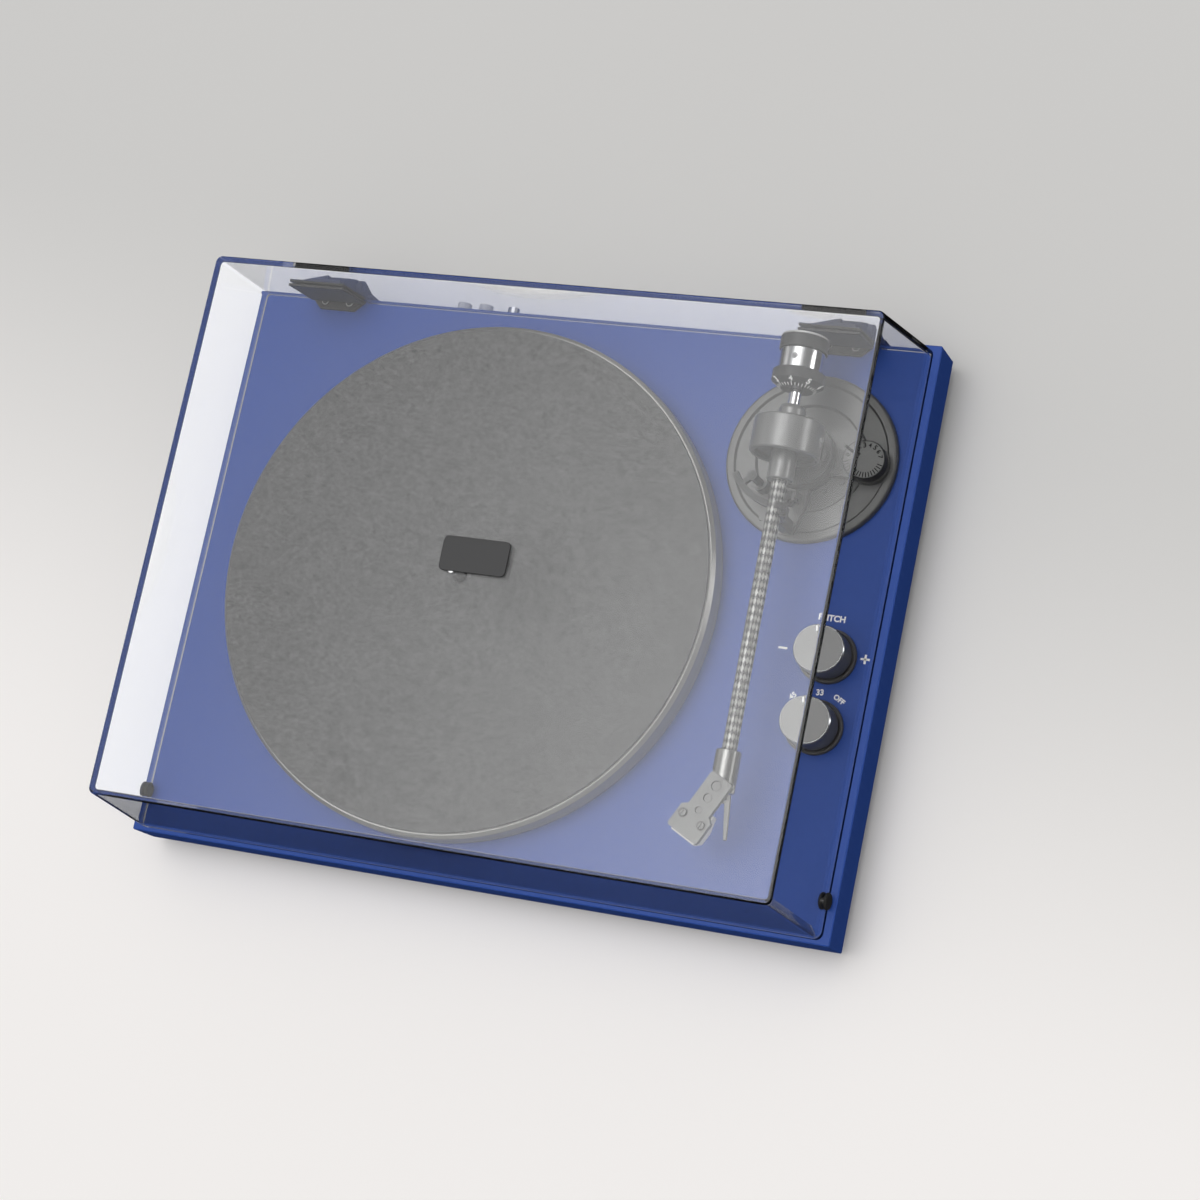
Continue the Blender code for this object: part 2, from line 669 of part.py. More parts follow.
def make_plinth():
    """The lacquered slab, routed from below, with its holes for bearing, motor, arm and controls."""
    half_x = PLINTH_WIDTH / 2
    half_y = PLINTH_DEPTH / 2
    plinth = block(
        "plinth", (-half_x, -half_y, PLINTH_BOTTOM), (half_x, half_y, 0), "blue_lacquer", DECK, PLINTH_EDGE
    )
    inner_x = half_x - PLINTH_WALL
    inner_y = half_y - PLINTH_WALL
    pocket = block(
        "cut_pocket", (-inner_x, -inner_y, PLINTH_BOTTOM - OVERRUN), (inner_x, inner_y, -PLINTH_SKIN), None, DECK
    )
    ledge_x = inner_x + BOTTOM_PLATE_LEDGE
    ledge_y = inner_y + BOTTOM_PLATE_LEDGE
    ledge_top = PLINTH_BOTTOM + BOTTOM_PLATE_THICKNESS + CLEARANCE
    ledge = block(
        "cut_ledge", (-ledge_x, -ledge_y, PLINTH_BOTTOM - OVERRUN), (ledge_x, ledge_y, ledge_top), None, DECK
    )
    cut(plinth, pocket, ledge)
    motor_x = PLATTER_X + MOTOR_DISTANCE * cos(MOTOR_ANGLE)
    motor_y = PLATTER_Y + MOTOR_DISTANCE * sin(MOTOR_ANGLE)
    holes = (
        ("cut_bearing_hole", BEARING_RADIUS + CLEARANCE, PLATTER_X, PLATTER_Y),
        ("cut_motor_hole", MOTOR_HOLE_RADIUS, motor_x, motor_y),
        ("cut_arm_hole", BASE_SPIGOT_RADIUS + CLEARANCE, ARM_X, ARM_Y),
        ("cut_pitch_hole", CONTROL_NECK_RADIUS + CLEARANCE, KNOB_X, PITCH_Y),
        ("cut_speed_hole", CONTROL_NECK_RADIUS + CLEARANCE, KNOB_X, SPEED_Y),
    )
    for name, radius, x, y in holes:
        cut(plinth, rod(name, radius, -PLINTH_SKIN - OVERRUN, OVERRUN, None, DECK, (x, y, 0)))
    half = SOCKET_PANEL_WIDTH / 2
    low_z = SOCKET_Z - SOCKET_PANEL_HEIGHT / 2
    high_z = SOCKET_Z + SOCKET_PANEL_HEIGHT / 2
    recess = block(
        "cut_socket_recess",
        (SOCKET_X - half - CLEARANCE, PLINTH_BACK - SOCKET_POCKET_DEPTH, low_z - CLEARANCE),
        (SOCKET_X + half + CLEARANCE, PLINTH_BACK + OVERRUN, high_z + CLEARANCE),
        None,
        DECK,
    )
    cut(plinth, recess)
    inlet = SOCKET_X + INLET_OFFSET
    passage = block(
        "cut_inlet_passage",
        (inlet - INLET_HALF - CLEARANCE, PLINTH_BACK - PLINTH_WALL - OVERRUN, SOCKET_Z - INLET_HALF - CLEARANCE),
        (inlet + INLET_HALF + CLEARANCE, PLINTH_BACK, SOCKET_Z + INLET_HALF + CLEARANCE),
        None,
        DECK,
    )
    cut(plinth, passage)


def make_underside():
    """The bottom plate in its rabbet, and the four feet under it."""
    half_x = PLINTH_WIDTH / 2 - PLINTH_WALL + BOTTOM_PLATE_LEDGE - CLEARANCE
    half_y = PLINTH_DEPTH / 2 - PLINTH_WALL + BOTTOM_PLATE_LEDGE - CLEARANCE
    block(
        "bottom_plate",
        (-half_x, -half_y, PLINTH_BOTTOM),
        (half_x, half_y, PLINTH_BOTTOM + BOTTOM_PLATE_THICKNESS),
        "dark_plastic",
        DECK,
    )
    top = PLINTH_BOTTOM - CLEARANCE
    bottom = top - FOOT_HEIGHT
    profile = [
        (0, top),
        (FOOT_RADIUS - FOOT_EDGE, top),
        (FOOT_RADIUS, top - FOOT_EDGE),
        (FOOT_RADIUS, bottom + FOOT_PAD_DEPTH + FOOT_EDGE),
        (FOOT_WAIST, bottom + FOOT_PAD_DEPTH),
        (FOOT_WAIST, bottom + FOOT_EDGE / 2),
        (FOOT_WAIST - FOOT_EDGE / 2, bottom),
        (0, bottom),
    ]
    foot_x = PLINTH_WIDTH / 2 - FOOT_INSET
    foot_y = PLINTH_DEPTH / 2 - FOOT_INSET
    for side, x in (("left", -foot_x), ("right", foot_x)):
        for end, y in (("front", -foot_y), ("back", foot_y)):
            turned(f"foot_{end}_{side}", profile, "black_rubber", DECK, (x, y, 0), steps=ROUND_STEPS)


def make_platter_set():
    """Platter, mat, sub-platter and spindle on one axis, and the bearing that carries them."""
    top = PLATTER_TOP
    under = top - PLATTER_PLATE
    inner = PLATTER_RADIUS - PLATTER_RIM
    hole = SPINDLE_RADIUS + CLEARANCE
    platter = [
        (hole, top),
        (PLATTER_RADIUS - PLATTER_CHAMFER, top),
        (PLATTER_RADIUS, top - PLATTER_CHAMFER),
        (PLATTER_RADIUS, PLATTER_BOTTOM),
        (inner, PLATTER_BOTTOM),
        (inner, under),
        (hole, under),
    ]
    turned("platter", platter, "machined_aluminium", PLATTER_AXIS, steps=FINE_STEPS)
    mat = [
        (hole, MAT_TOP),
        (MAT_RADIUS, MAT_TOP),
        (MAT_RADIUS, top + CLEARANCE),
        (hole, top + CLEARANCE),
    ]
    turned("slip_mat", mat, "grey_felt", PLATTER_AXIS, steps=FINE_STEPS)
    radius = SUB_PLATTER_RADIUS
    groove = radius - SUB_PLATTER_GROOVE
    low_groove = DRIVE_HEIGHT - BELT_WIDTH / 2 - CLEARANCE
    high_groove = DRIVE_HEIGHT + BELT_WIDTH / 2 + CLEARANCE
    sub_platter = [
        (hole, SUB_PLATTER_TOP),
        (radius, SUB_PLATTER_TOP),
        (radius, high_groove),
        (groove, high_groove),
        (groove, low_groove),
        (radius, low_groove),
        (radius, SUB_PLATTER_BOTTOM),
        (hole, SUB_PLATTER_BOTTOM),
    ]
    turned("sub_platter", sub_platter, "dark_plastic", PLATTER_AXIS, steps=FINE_STEPS)
    tip = SPINDLE_TIP
    spindle = [
        (0, SPINDLE_TOP),
        (SPINDLE_RADIUS - tip / 2, SPINDLE_TOP - tip / 4),
        (SPINDLE_RADIUS, SPINDLE_TOP - tip),
        (SPINDLE_RADIUS, -SPINDLE_DEPTH),
        (0, -SPINDLE_DEPTH),
    ]
    turned("spindle", spindle, "polished_steel", PLATTER_AXIS, steps=SMALL_STEPS)
    bore = SPINDLE_RADIUS + CLEARANCE
    flange_top = CLEARANCE + BEARING_FLANGE_THICKNESS
    floor = -SPINDLE_DEPTH - CLEARANCE
    place = (PLATTER_X, PLATTER_Y, 0)
    bearing = [
        (0, flange_top),
        (BEARING_FLANGE, flange_top),
        (BEARING_FLANGE, CLEARANCE),
        (BEARING_RADIUS, CLEARANCE),
        (BEARING_RADIUS, floor - BEARING_FLOOR),
        (0, floor - BEARING_FLOOR),
    ]
    housing = turned("bearing_housing", bearing, "brass", DECK, place)
    cut(housing, rod("cut_bearing_bore", bore, floor, flange_top + OVERRUN, None, DECK, place))


def belt_loop(large, small, distance, steps):
    """The outline round two circles, the large one at the origin and the small one along +X."""
    lean = acos((large - small) / distance)
    around_large = arc((0, 0), large, lean, 2 * pi - lean, steps)
    around_small = arc((distance, 0), small, -lean, lean, steps // 4)
    return around_large + around_small


def make_drive():
    """Motor under the plinth, its shaft and pulley, and the belt round pulley and sub-platter."""
    motor_top = -PLINTH_SKIN - CLEARANCE
    motor_bottom = motor_top - MOTOR_HEIGHT
    motor = turned(
        "motor",
        [
            (0, motor_top),
            (MOTOR_RADIUS - PLINTH_EDGE, motor_top),
            (MOTOR_RADIUS, motor_top - PLINTH_EDGE),
            (MOTOR_RADIUS, motor_bottom),
            (0, motor_bottom),
        ],
        "polished_steel",
        MOTOR_AXIS,
    )
    bore = MOTOR_SHAFT_RADIUS + CLEARANCE
    shaft_bottom = -MOTOR_SHAFT_DEPTH
    cut(motor, rod("cut_motor_bore", bore, shaft_bottom - CLEARANCE, motor_top + OVERRUN, None, MOTOR_AXIS))
    rod("motor_shaft", MOTOR_SHAFT_RADIUS, shaft_bottom, SUB_PLATTER_TOP, "polished_steel", MOTOR_AXIS)
    flange = PULLEY_RADIUS + PULLEY_FLANGE
    top = SUB_PLATTER_TOP - CLEARANCE
    low = DRIVE_HEIGHT - BELT_WIDTH / 2 - CLEARANCE
    high = DRIVE_HEIGHT + BELT_WIDTH / 2 + CLEARANCE
    turned(
        "motor_pulley",
        [
            (bore, top),
            (flange, top),
            (flange, high),
            (PULLEY_RADIUS, high),
            (PULLEY_RADIUS, low),
            (flange, low),
            (flange, SUB_PLATTER_BOTTOM),
            (bore, SUB_PLATTER_BOTTOM),
        ],
        "brass",
        MOTOR_AXIS,
    )
    gap = CLEARANCE
    groove = SUB_PLATTER_RADIUS - SUB_PLATTER_GROOVE
    low = DRIVE_HEIGHT - BELT_WIDTH / 2
    high = DRIVE_HEIGHT + BELT_WIDTH / 2
    steps = FINE_STEPS
    outer = belt_loop(groove + gap + BELT_THICKNESS, PULLEY_RADIUS + gap + BELT_THICKNESS, MOTOR_DISTANCE, steps)
    inner = belt_loop(groove + gap, PULLEY_RADIUS + gap, MOTOR_DISTANCE, steps)
    place = (PLATTER_X, PLATTER_Y, 0)
    belt = extruded("drive_belt", outer, low, high, "black_rubber", DECK, place, (0, 0, MOTOR_ANGLE))
    hollow = extruded(
        "cut_belt", inner, low - OVERRUN, high + OVERRUN, None, DECK, place, (0, 0, MOTOR_ANGLE)
    )
    cut(belt, hollow)


def make_controls():
    """Bezels, knobs, and the pitch control and speed switch on their board under the plinth."""
    seat = CONTROL_SHAFT_RADIUS + CLEARANCE
    body_top = -PLINTH_SKIN - CLEARANCE
    body_bottom = body_top - CONTROL_BODY_HEIGHT
    shaft_top = CONTROL_SHAFT_SEAT
    for name, control, axis in (
        ("pitch", "pitch_potentiometer", PITCH_AXIS),
        ("speed", "speed_switch", SPEED_AXIS),
    ):
        turned(
            f"{name}_bezel",
            [
                (BEZEL_INNER, BEZEL_HEIGHT),
                (BEZEL_RADIUS - BEZEL_EDGE, BEZEL_HEIGHT),
                (BEZEL_RADIUS, BEZEL_HEIGHT - BEZEL_EDGE),
                (BEZEL_RADIUS, CLEARANCE),
                (CONTROL_NECK_RADIUS + CLEARANCE, CLEARANCE),
                (CONTROL_NECK_RADIUS + CLEARANCE, BEZEL_FLOOR),
                (BEZEL_INNER, BEZEL_FLOOR),
            ],
            "satin_black",
            axis,
        )
        bottom = BEZEL_FLOOR + CLEARANCE
        skirt = KNOB_RADIUS - BEZEL_EDGE
        knob = turned(
            f"{name}_knob",
            [
                (0, KNOB_TOP),
                (KNOB_RADIUS - KNOB_CHAMFER, KNOB_TOP),
                (KNOB_RADIUS, KNOB_TOP - KNOB_CHAMFER),
                (KNOB_RADIUS, bottom + KNOB_SKIRT + BEZEL_EDGE),
                (skirt, bottom + KNOB_SKIRT),
                (skirt, bottom),
                (0, bottom),
            ],
            "brushed_grey",
            axis,
        )
        pocket = rod(
            f"cut_{name}_seat", seat, bottom - OVERRUN, shaft_top + CLEARANCE, None, axis
        )
        half = POINTER_WIDTH / 2
        mark = block(
            f"cut_{name}_mark",
            (-half, KNOB_RADIUS - POINTER_LENGTH, KNOB_TOP - POINTER_DEPTH),
            (half, KNOB_RADIUS + OVERRUN, KNOB_TOP + OVERRUN),
            None,
            axis,
        )
        cut(knob, pocket, mark)
        turned(
            control,
            [
                (0, shaft_top),
                (CONTROL_SHAFT_RADIUS, shaft_top),
                (CONTROL_SHAFT_RADIUS, BEZEL_FLOOR),
                (CONTROL_NECK_RADIUS, BEZEL_FLOOR),
                (CONTROL_NECK_RADIUS, body_top),
                (CONTROL_BODY_RADIUS, body_top),
                (CONTROL_BODY_RADIUS, body_bottom),
                (0, body_bottom),
            ],
            "satin_black",
            axis,
            steps=SMALL_STEPS,
        )
    board_top = body_bottom - CLEARANCE
    middle = (PITCH_Y + SPEED_Y) / 2
    block(
        "control_board",
        (KNOB_X - BOARD_WIDTH / 2, middle - BOARD_DEPTH / 2, board_top - BOARD_THICKNESS),
        (KNOB_X + BOARD_WIDTH / 2, middle + BOARD_DEPTH / 2, board_top),
        "board_green",
        DECK,
    )


def from_arm(shares, across, along):
    """Points in the deck frame, from shares of two lengths that start at the arm's pivot."""
    return [(ARM_X + x * across, ARM_Y + y * along) for x, y in shares]


def slotted_screw(name, radius, height, slot, parent, place):
    """A low screw head with a straight slot, ready to be fused to what it fastens."""
    head = turned(
        name,
        [(0, height), (radius - slot / 2, height), (radius, height - slot / 2), (radius, -slot), (0, -slot)],
        None,
        parent,
        place,
        steps=SMALL_STEPS,
    )
    gap = block(
        f"{name}_slot",
        (place[0] - radius - OVERRUN, place[1] - slot / 2, place[2] + height - slot),
        (place[0] + radius + OVERRUN, place[1] + slot / 2, place[2] + height + OVERRUN),
        None,
        parent,
    )
    cut(head, gap)
    return head


def make_tonearm_base():
    """The round dish: rim, bowl, tower for the arm's post, bridge to the dial, and the platform."""
    rim = BASE_RADIUS - BASE_RIM_WIDTH
    step = BASE_RIM_HEIGHT - BASE_STEP
    dish = turned(
        "tonearm_base",
        [
            (0, BASE_FLOOR),
            (BASE_BOWL_RADIUS, BASE_FLOOR),
            (BASE_BOWL_RADIUS + BASE_STEP, step),
            (rim - BASE_STEP, step),
            (rim, BASE_RIM_HEIGHT),
            (BASE_RADIUS - BASE_RIM_EDGE, BASE_RIM_HEIGHT),
            (BASE_RADIUS - BASE_RIM_EDGE / 4, BASE_RIM_HEIGHT - BASE_RIM_EDGE / 2),
            (BASE_RADIUS, BASE_RIM_HEIGHT - BASE_RIM_EDGE),
            (BASE_RADIUS, CLEARANCE),
            (0, CLEARANCE),
        ],
        "cast_grey",
        DECK,
        (BASE_X, BASE_Y, 0),
        steps=FINE_STEPS,
    )
    tower = turned(
        "join_tower",
        [
            (0, TOWER_TOP),
            (TOWER_RADIUS - TOWER_EDGE, TOWER_TOP),
            (TOWER_RADIUS, TOWER_TOP - TOWER_EDGE),
            (TOWER_RADIUS, TOWER_STEP_HEIGHT),
            (TOWER_STEP_RADIUS, TOWER_STEP_HEIGHT),
            (TOWER_STEP_RADIUS, BASE_STEP),
            (0, BASE_STEP),
        ],
        None,
        DECK,
        (ARM_X, ARM_Y, 0),
        steps=ROUND_STEPS,
    )
    platform = extruded(
        "join_platform", from_arm(PLATFORM_SHARES, BASE_RADIUS, BASE_RADIUS), BASE_STEP, PLATFORM_HEIGHT, None, DECK
    )
    bridge = extruded(
        "join_bridge", from_arm(BRIDGE_SHARES, DIAL_RIGHT, DIAL_SEAT_RADIUS), BASE_STEP, BRIDGE_HEIGHT, None, DECK
    )
    seat_top = DIAL_BOTTOM - CLEARANCE
    dial_seat = rod(
        "join_dial_seat", DIAL_SEAT_RADIUS, BASE_STEP, seat_top, None, DECK, (DIAL_X, DIAL_Y, 0), steps=ROUND_STEPS
    )
    spigot = rod(
        "join_spigot", BASE_SPIGOT_RADIUS, -PLINTH_SKIN, BASE_STEP, None, DECK, (ARM_X, ARM_Y, 0)
    )
    post_place = (CUE_POST_X, CUE_POST_Y, 0)
    sleeve = rod("join_cue_sleeve", CUE_SLEEVE_RADIUS, BASE_STEP, CUE_SLEEVE_TOP, None, DECK, post_place)
    fuse(dish, platform, tower, bridge, dial_seat, spigot, sleeve)
    ear_low = LEVER_HUB_WIDTH / 2 + CLEARANCE
    for side in (-1, 1):
        near = LEVER_X + side * ear_low
        far = LEVER_X + side * (ear_low + LEVER_EAR_WIDTH)
        ear = block(
            f"join_lever_ear_{side + 1}",
            (min(near, far), LEVER_Y - LEVER_HUB_RADIUS, BASE_STEP),
            (max(near, far), LEVER_Y + LEVER_HUB_RADIUS, LEVER_EAR_TOP),
            None,
            DECK,
        )
        fuse(dish, ear)
    pin_hole = LEVER_PIN_RADIUS + CLEARANCE
    reach = ear_low + LEVER_EAR_WIDTH + OVERRUN
    place = (LEVER_X, LEVER_Y, LEVER_Z)
    cut(dish, rod("cut_lever_pin", pin_hole, -reach, reach, None, DECK, place, ALONG_RIGHT))
    post = SWING_POST_RADIUS + CLEARANCE
    low = SWING_POST_BOTTOM - CLEARANCE
    cut(dish, rod("cut_post_bore", post, low, TOWER_TOP + OVERRUN, None, DECK, (ARM_X, ARM_Y, 0)))
    place = (DIAL_X, DIAL_Y, 0)
    hole = DIAL_POST_RADIUS + CLEARANCE
    low = DIAL_BOTTOM - DIAL_POST_DEPTH - CLEARANCE
    cut(dish, rod("cut_dial_bore", hole, low, DIAL_BOTTOM + OVERRUN, None, DECK, place))
    hole = CUE_POST_RADIUS + CLEARANCE
    low = CUE_POST_BOTTOM - CLEARANCE
    cut(dish, rod("cut_cue_bore", hole, low, CUE_SLEEVE_TOP + OVERRUN, None, DECK, post_place))
    for index, (x, y) in enumerate(from_arm(BASE_SCREW_SHARES, BASE_RADIUS, BASE_RADIUS)):
        place = (x, y, BASE_FLOOR)
        name = f"join_base_screw_{index + 1}"
        fuse(dish, slotted_screw(name, SCREW_HEAD_RADIUS, SCREW_HEAD_HEIGHT, SCREW_SLOT, DECK, place))


def make_dial():
    """The anti-skate dial: a flat round knob on a short post."""
    turned(
        "anti_skate_dial",
        [
            (0, DIAL_TOP),
            (DIAL_RADIUS - DIAL_EDGE, DIAL_TOP),
            (DIAL_RADIUS, DIAL_TOP - DIAL_EDGE),
            (DIAL_RADIUS, DIAL_BOTTOM),
            (DIAL_POST_RADIUS, DIAL_BOTTOM),
            (DIAL_POST_RADIUS, DIAL_BOTTOM - DIAL_POST_DEPTH),
            (0, DIAL_BOTTOM - DIAL_POST_DEPTH),
        ],
        "satin_black",
        DIAL_AXIS,
    )


def make_arm_rest():
    """The post with its open cradle and side wall, and the clip that folds over the tube."""
    low_y = REST_Y - REST_LENGTH / 2
    high_y = REST_Y + REST_LENGTH / 2
    foot = PLATFORM_HEIGHT + CLEARANCE
    head_low = REST_HEAD_TOP - REST_HEAD_THICKNESS
    wall = REST_WALL_LEFT
    outline = [
        (REST_POST_LEFT, foot),
        (REST_POST_RIGHT, foot),
        (REST_POST_RIGHT, head_low - CLIP_THICKNESS),
        (REST_HEAD_RIGHT, head_low + CLIP_THICKNESS),
        (REST_HEAD_RIGHT, REST_WALL_TOP),
        (wall, REST_WALL_TOP),
        (wall, REST_HEAD_TOP),
        (REST_HEAD_LEFT, REST_HEAD_TOP),
        (REST_HEAD_LEFT, head_low),
        (REST_POST_LEFT, head_low - CLIP_THICKNESS),
    ]
    rest = extruded(
        "arm_rest", outline, -high_y, -low_y, "satin_black", DECK, (ARM_X, 0, 0), (radians(90), 0, 0)
    )
    hub_y = REST_LENGTH / 2
    ear = REST_LENGTH / 4
    clip_x = ARM_X + CLIP_RIGHT_OF_ARM
    side = CLIP_HUB_RADIUS + OVERRUN
    slot = block(
        "cut_clip_slot",
        (clip_x - side, REST_Y - ear - CLEARANCE, CLIP_Z - CLIP_HUB_RADIUS - CLEARANCE),
        (clip_x + side, REST_Y + ear + CLEARANCE, CLIP_Z + CLIP_HUB_RADIUS + OVERRUN),
        None,
        DECK,
    )
    place = (clip_x, REST_Y, CLIP_Z)
    fuse(rest, rod("join_clip_knuckle", CLIP_HUB_RADIUS, -hub_y, hub_y, None, DECK, place, ALONG_BACK))
    cut(rest, slot)
    bore = CLIP_PIN_RADIUS + CLEARANCE
    reach = hub_y + OVERRUN
    cut(rest, rod("cut_clip_pin", bore, -reach, reach, None, DECK, place, ALONG_BACK))


def make_arm_clip():
    """The clip, standing open: a hub on its pin and a curved finger that fits over the tube."""
    hub = REST_LENGTH / 4
    clip = rod("arm_clip", CLIP_HUB_RADIUS, -hub, hub, "dark_plastic", CLIP_AXIS, turn=ALONG_BACK)
    pin_half = REST_LENGTH / 2
    pin = rod("join_clip_pin", CLIP_PIN_RADIUS, -pin_half, pin_half, None, CLIP_AXIS, turn=ALONG_BACK)
    inner = TUBE_RADIUS + CLEARANCE
    outer = inner + CLIP_THICKNESS
    tube = (REST_TUBE - CLIP_RIGHT_OF_ARM, ARM_HEIGHT - CLIP_Z)
    start = atan2(-tube[1], -tube[0]) + CLIP_START
    ring = arc(tube, outer, start, CLIP_END, SMALL_STEPS) + arc(tube, inner, CLIP_END, start, SMALL_STEPS)
    closed = Matrix.Rotation(CLIP_OPEN, 3, "Z")
    opened = [(closed @ Vector((x, z, 0)))[:2] for x, z in ring]
    finger = extruded(
        "join_clip_finger", opened, -hub, hub, None, CLIP_AXIS, (0, 0, 0), (radians(90), 0, 0)
    )
    fuse(clip, pin, finger)


def make_cue():
    """The curved lift bar on its post, and the cue lever with a ball end."""
    middle = (0, 0)
    inner = CUE_RADIUS - CUE_WIDTH / 2
    outer = CUE_RADIUS + CUE_WIDTH / 2
    steps = SMALL_STEPS
    outline = arc(middle, outer, CUE_START, CUE_END, steps) + arc(middle, inner, CUE_END, CUE_START, steps)
    bar = extruded(
        "cue_lift", outline, CUE_TOP - CUE_THICKNESS, CUE_TOP, "dark_plastic", DECK, (ARM_X, ARM_Y, 0)
    )
    place = (CUE_POST_X, CUE_POST_Y, 0)
    low = CUE_TOP - CUE_THICKNESS
    web = extruded(
        "join_cue_web",
        [
            (CUE_POST_DISTANCE, -CUE_WEB_HALF),
            (CUE_RADIUS, -CUE_WEB_HALF),
            (CUE_RADIUS, CUE_WEB_HALF),
            (CUE_POST_DISTANCE, CUE_WEB_HALF),
        ],
        low,
        CUE_TOP - CLEARANCE,
        None,
        DECK,
        (ARM_X, ARM_Y, 0),
        (0, 0, CUE_POST_ANGLE),
    )
    knob = rod("join_cue_knob", CUE_KNOB_RADIUS, low, CUE_TOP, None, DECK, place)
    post = rod("join_cue_post", CUE_POST_RADIUS, CUE_POST_BOTTOM, CUE_TOP - CLEARANCE, None, DECK, place)
    fuse(bar, web, knob, post)
    half = LEVER_HUB_WIDTH / 2
    lever = rod("cue_lever", LEVER_HUB_RADIUS, -half, half, "satin_black", LEVER_AXIS, turn=ALONG_RIGHT)
    reach = half + CLEARANCE + LEVER_PIN_REACH
    pins = rod("join_lever_pins", LEVER_PIN_RADIUS, -reach, reach, None, LEVER_AXIS, turn=ALONG_RIGHT)
    path = [Vector(share) * LEVER_REACH for share in LEVER_PATH_SHARES]
    handle = wire("join_lever_handle", path, LEVER_RADIUS, None, LEVER_AXIS)
    tip = ball("join_lever_ball", LEVER_BALL_RADIUS, None, LEVER_AXIS, path[-1])
    fuse(lever, pins, handle, tip)


def make_gimbal():
    """The drum that swings on its post, with the two pivot screws that carry the arm."""
    half = DRUM_LENGTH / 2
    edge = DRUM_EDGE
    drum = turned(
        "gimbal_drum",
        [
            (DRUM_BORE, half),
            (DRUM_RADIUS - edge, half),
            (DRUM_RADIUS, half - edge),
            (DRUM_RADIUS, -half + edge),
            (DRUM_RADIUS - edge, -half),
            (DRUM_BORE, -half),
        ],
        "cast_grey",
        ARM_AXIS,
        turn=ALONG_BACK,
        steps=FINE_STEPS * 3 // 4,
    )
    hole = PIVOT_SCREW_RADIUS + CLEARANCE
    reach = DRUM_RADIUS + OVERRUN
    cut(drum, rod("cut_pivot_holes", hole, -reach, reach, None, ARM_AXIS, turn=ALONG_RIGHT))
    post = SWING_POST_RADIUS + CLEARANCE
    cut(drum, rod("cut_drum_post", post, -DRUM_RADIUS - OVERRUN, -DRUM_BORE + OVERRUN, None, ARM_AXIS))
    flange_top = -DRUM_RADIUS - CLEARANCE
    flange_bottom = flange_top - SWING_POST_FLANGE_THICKNESS
    post_top = -(DRUM_BORE + DRUM_RADIUS) / 2
    post_bottom = SWING_POST_BOTTOM - ARM_HEIGHT
    turned(
        "swing_post",
        [
            (0, post_top),
            (SWING_POST_RADIUS, post_top),
            (SWING_POST_RADIUS, flange_top),
            (SWING_POST_FLANGE, flange_top),
            (SWING_POST_FLANGE, flange_bottom),
            (SWING_POST_RADIUS, flange_bottom),
            (SWING_POST_RADIUS, post_bottom),
            (0, post_bottom),
        ],
        "polished_steel",
        ARM_AXIS,
        steps=SMALL_STEPS,
    )
    cup = CARRIER_DISC_RADIUS - PIVOT_CUP_DEPTH
    head = sqrt(DRUM_RADIUS**2 - PIVOT_SCREW_RADIUS**2)
    profile = [
        (0, head),
        (PIVOT_SCREW_RADIUS, head),
        (PIVOT_SCREW_RADIUS, cup + CLEARANCE * 2 + PIVOT_SCREW_TIP + PIVOT_CUP_DEPTH / 2),
        (0, cup + CLEARANCE * 2),
    ]
    for side, turn_y in (("left", radians(-90)), ("right", radians(90))):
        screw = turned(
            f"pivot_screw_{side}", profile, "polished_steel", ARM_AXIS, turn=(0, turn_y, 0), steps=SMALL_STEPS
        )
        sign = -1 if side == "left" else 1
        inner = head - PIVOT_SCREW_SLOT
        outer = head + OVERRUN
        slot = block(
            f"cut_{side}_screw_slot",
            (min(sign * inner, sign * outer), -PIVOT_SCREW_SLOT / 2, -PIVOT_SCREW_RADIUS - OVERRUN),
            (max(sign * inner, sign * outer), PIVOT_SCREW_SLOT / 2, PIVOT_SCREW_RADIUS + OVERRUN),
            None,
            ARM_AXIS,
        )
        cut(screw, slot)


